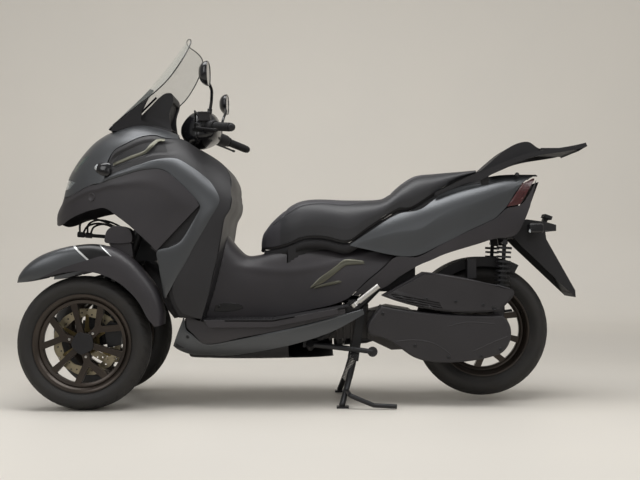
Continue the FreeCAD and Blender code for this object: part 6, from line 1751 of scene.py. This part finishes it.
def makeSmallParts():
    spring = coilPart(*small["spring"], small["springTurns"], small["springRadius"], 1.9)
    makePiece("stand_spring", [spring], "silver", body="centre_stand_body", closed=True)
    parts = [boxPart(*box) for box in small["lampBoxes"]]
    parts.append(lathePart(small["knob"], small["knobAt"], small["knobAxis"], 24))
    makePiece("plate_lamp", parts, "black", edge=2.0, closed=True)
    makePiece("rear_indicator_lenses", bothSides(boxPart(*small["crescent"])), "lampWhite",
              edge=3.0, closed=True, segments=3)
    # black sheet a little proud of the tunnel: painted shade for the slot's opening
    slot = lifted(sideGrid(tunnelForm, small["slot"], 30, 8), 1.6, tunnelForm)
    makePiece("tunnel_slot_painted_shade", skins(tunnelForm, slot), "gloss", thick=2.0, edge=0.5)


# finish and edge radius of every node that keeps its own mesh
dressings = {
    "main_frame": ("steel", 0.6), "lean_arms": ("steel", 1.0), "side_brackets": ("steel", 0.8),
    "engine_block": ("alloy", 1.2), "transmission_case": ("case", 1.4),
    "air_cleaner": ("case", 1.4), "swing_arm": ("alloy", 1.2), "muffler": ("steel", 0.8),
    "rear_shocks": ("steel", 0.5),
    "rear_hugger": ("black", 0.8), "radiator": ("radiator", 0.2), "dash_panel": ("black", 0.8),
    "windscreen_bracket": ("black", 1.0), "storage_tub": ("black", 0.8),
    "plate_holder": ("black", 1.2), "rear_indicators": ("gloss", 1.0), "grab_rails": ("black", 1.6),
    "seat_pan": ("black", 0.5), "handlebar": ("steel", 0.8), "fork_left": ("steel", 0.8),
    "fork_right": ("steel", 0.8), "centre_stand": ("steel", 0.6), "side_stand": ("steel", 0.6),
    "peg_left": ("silver", 0.6), "peg_right": ("silver", 0.6),
}


def dressNodes():
    for node, (finish, edge) in dressings.items():
        dressNode(node, finish, edge)


room = {
    "floorColour": "#cfcbc4", "floorTone": "#d6d1c8", "worldColour": "#e9e7e4",
    "worldStrength": 0.43, "wallGlow": 0.30, "glowFrom": 1.3, "glowTo": 4.6,
    "half": 24000, "front": -20000, "wallY": 5200, "bend": 900, "wallTop": 6000,
}


# floor and wall in one sheet: flat, then a quarter turn up at the back
def makeRoom():
    material, tree, shader, place = newMaterial("pale studio floor")
    slow = addNode(tree, "ShaderNodeTexNoise", {"Vector": place, "Scale": 1.3})["Fac"]
    base = addNode(tree, "ShaderNodeMix", {0: slow, 6: tint(room["floorColour"]),
                                           7: tint(room["floorTone"])}, data_type="RGBA")[2]
    # the far wall is as pale as the floor to the eye, in reflections and through glass
    rays = addNode(tree, "ShaderNodeLightPath", {})
    seen = rays["Is Camera Ray"]
    for key in ("Is Glossy Ray", "Is Transmission Ray"):
        seen = addNode(tree, "ShaderNodeMath", {0: seen, 1: rays[key]}, operation="MAXIMUM")[0]
    depth = addNode(tree, "ShaderNodeSeparateXYZ", {0: place})["Y"]
    far = addNode(tree, "ShaderNodeMapRange", {0: depth, 1: room["glowFrom"], 2: room["glowTo"],
                                               3: 0.0, 4: room["wallGlow"]})[0]
    glow = addNode(tree, "ShaderNodeMath", {0: seen, 1: far}, operation="MULTIPLY")[0]
    setInputs(tree, shader, {"Base Color": base, "Roughness": 0.55, "Emission Strength": glow,
                             "Emission Color": tint(room["floorTone"])})
    x = np.linspace(-room["half"], room["half"], 80)[:, None]
    turn, r, wall = np.linspace(0, math.pi / 2, 16), room["bend"], room["wallY"]
    y = np.r_[room["front"], 0, wall - r + r * np.sin(turn), wall]
    z = np.r_[0, 0, r - r * np.cos(turn), room["wallTop"]]
    v, f, uv = faceOut(sheetPart(gridOf(x, y, z)), lambda p: p + [0, 4000, -4000])
    mesh = bpy.data.meshes.new("studio_floor")
    mesh.from_pydata((v * mm).tolist(), [], f.tolist())
    mesh.shade_smooth()
    mesh.materials.append(material)
    sweep = placed("studio_floor", mesh)


# place, target, size and power of each lamp
lights = {
    "ceiling_panel": ((-0.3, -0.6, 3.4), (0, 0, 0.5), (4.2, 1.6), 118),
    "front_panel": ((-3.2, -2.6, 2.6), (-0.4, 0, 0.6), (1.6, 2.2), 32),
    "rear_panel": ((3.0, -1.6, 2.7), (0.4, 0, 0.6), (1.6, 1.8), 22),
    "camera_fill": ((0.2, -4.6, 2.0), (0, 0, 0.5), (3.0, 1.6), 12),
}


# panels that look at their targets without a roll, in a pale world
def makeLights():
    for name, (place, target, size, power) in lights.items():
        data = bpy.data.lights.new(name, "AREA")
        data.shape = "RECTANGLE"
        data.size, data.size_y = size
        data.energy = power
        light = placed(name, data)
        light.location = place
        x, y, z = np.subtract(target, place)
        light.rotation_euler = (math.pi / 2 + math.atan2(z, math.hypot(x, y)), 0,
                                math.atan2(y, x) - math.pi / 2)
    world = bpy.data.worlds.new("studio air")
    bpy.context.scene.world = world
    world.use_nodes = True
    back = world.node_tree.nodes["Background"]
    back.inputs["Color"].default_value = tint(room["worldColour"])
    back.inputs["Strength"].default_value = room["worldStrength"]


view = {"place": (0.051, -3.678, 0.602), "pitch": 1.03, "lens": 49.24, "sensor": 36.0}


# view of the photograph: lens and place worked out from the wheels and the horizon
def makeCamera():
    data = bpy.data.cameras.new("photo_view")
    data.lens = view["lens"]
    data.sensor_width = view["sensor"]
    camera = placed("photo_view", data)
    camera.location = view["place"]
    camera.rotation_euler = (math.radians(90 + view["pitch"]), 0, 0)
    bpy.context.scene.camera = camera


# the whole vehicle, stage by stage
stages = {
    "studio": (makeCamera, makeRoom, makeLights),
    "front panels": (makeCowl, makeFrontLamps, makeStrip, makeSidePanels, makeLegShield,
                     makeLinings, makeScreen),
    "middle and tail panels": (makeTunnel, makeAccents, makeFootboards, makeSkirts, makeTail),
    "seat": (makeSeat,),
    "wheels and mudguards": (makeWheels,),
    "handlebar and small parts": (makeAxleCovers, makeControls, makeCaseMarks, makeSmallParts),
    "remaining nodes": (dressNodes,),
}
for stage, makers in stages.items():
    for make in makers:
        make()
    print(stage, "made")

bpy.context.scene.view_settings.view_transform = "Standard"
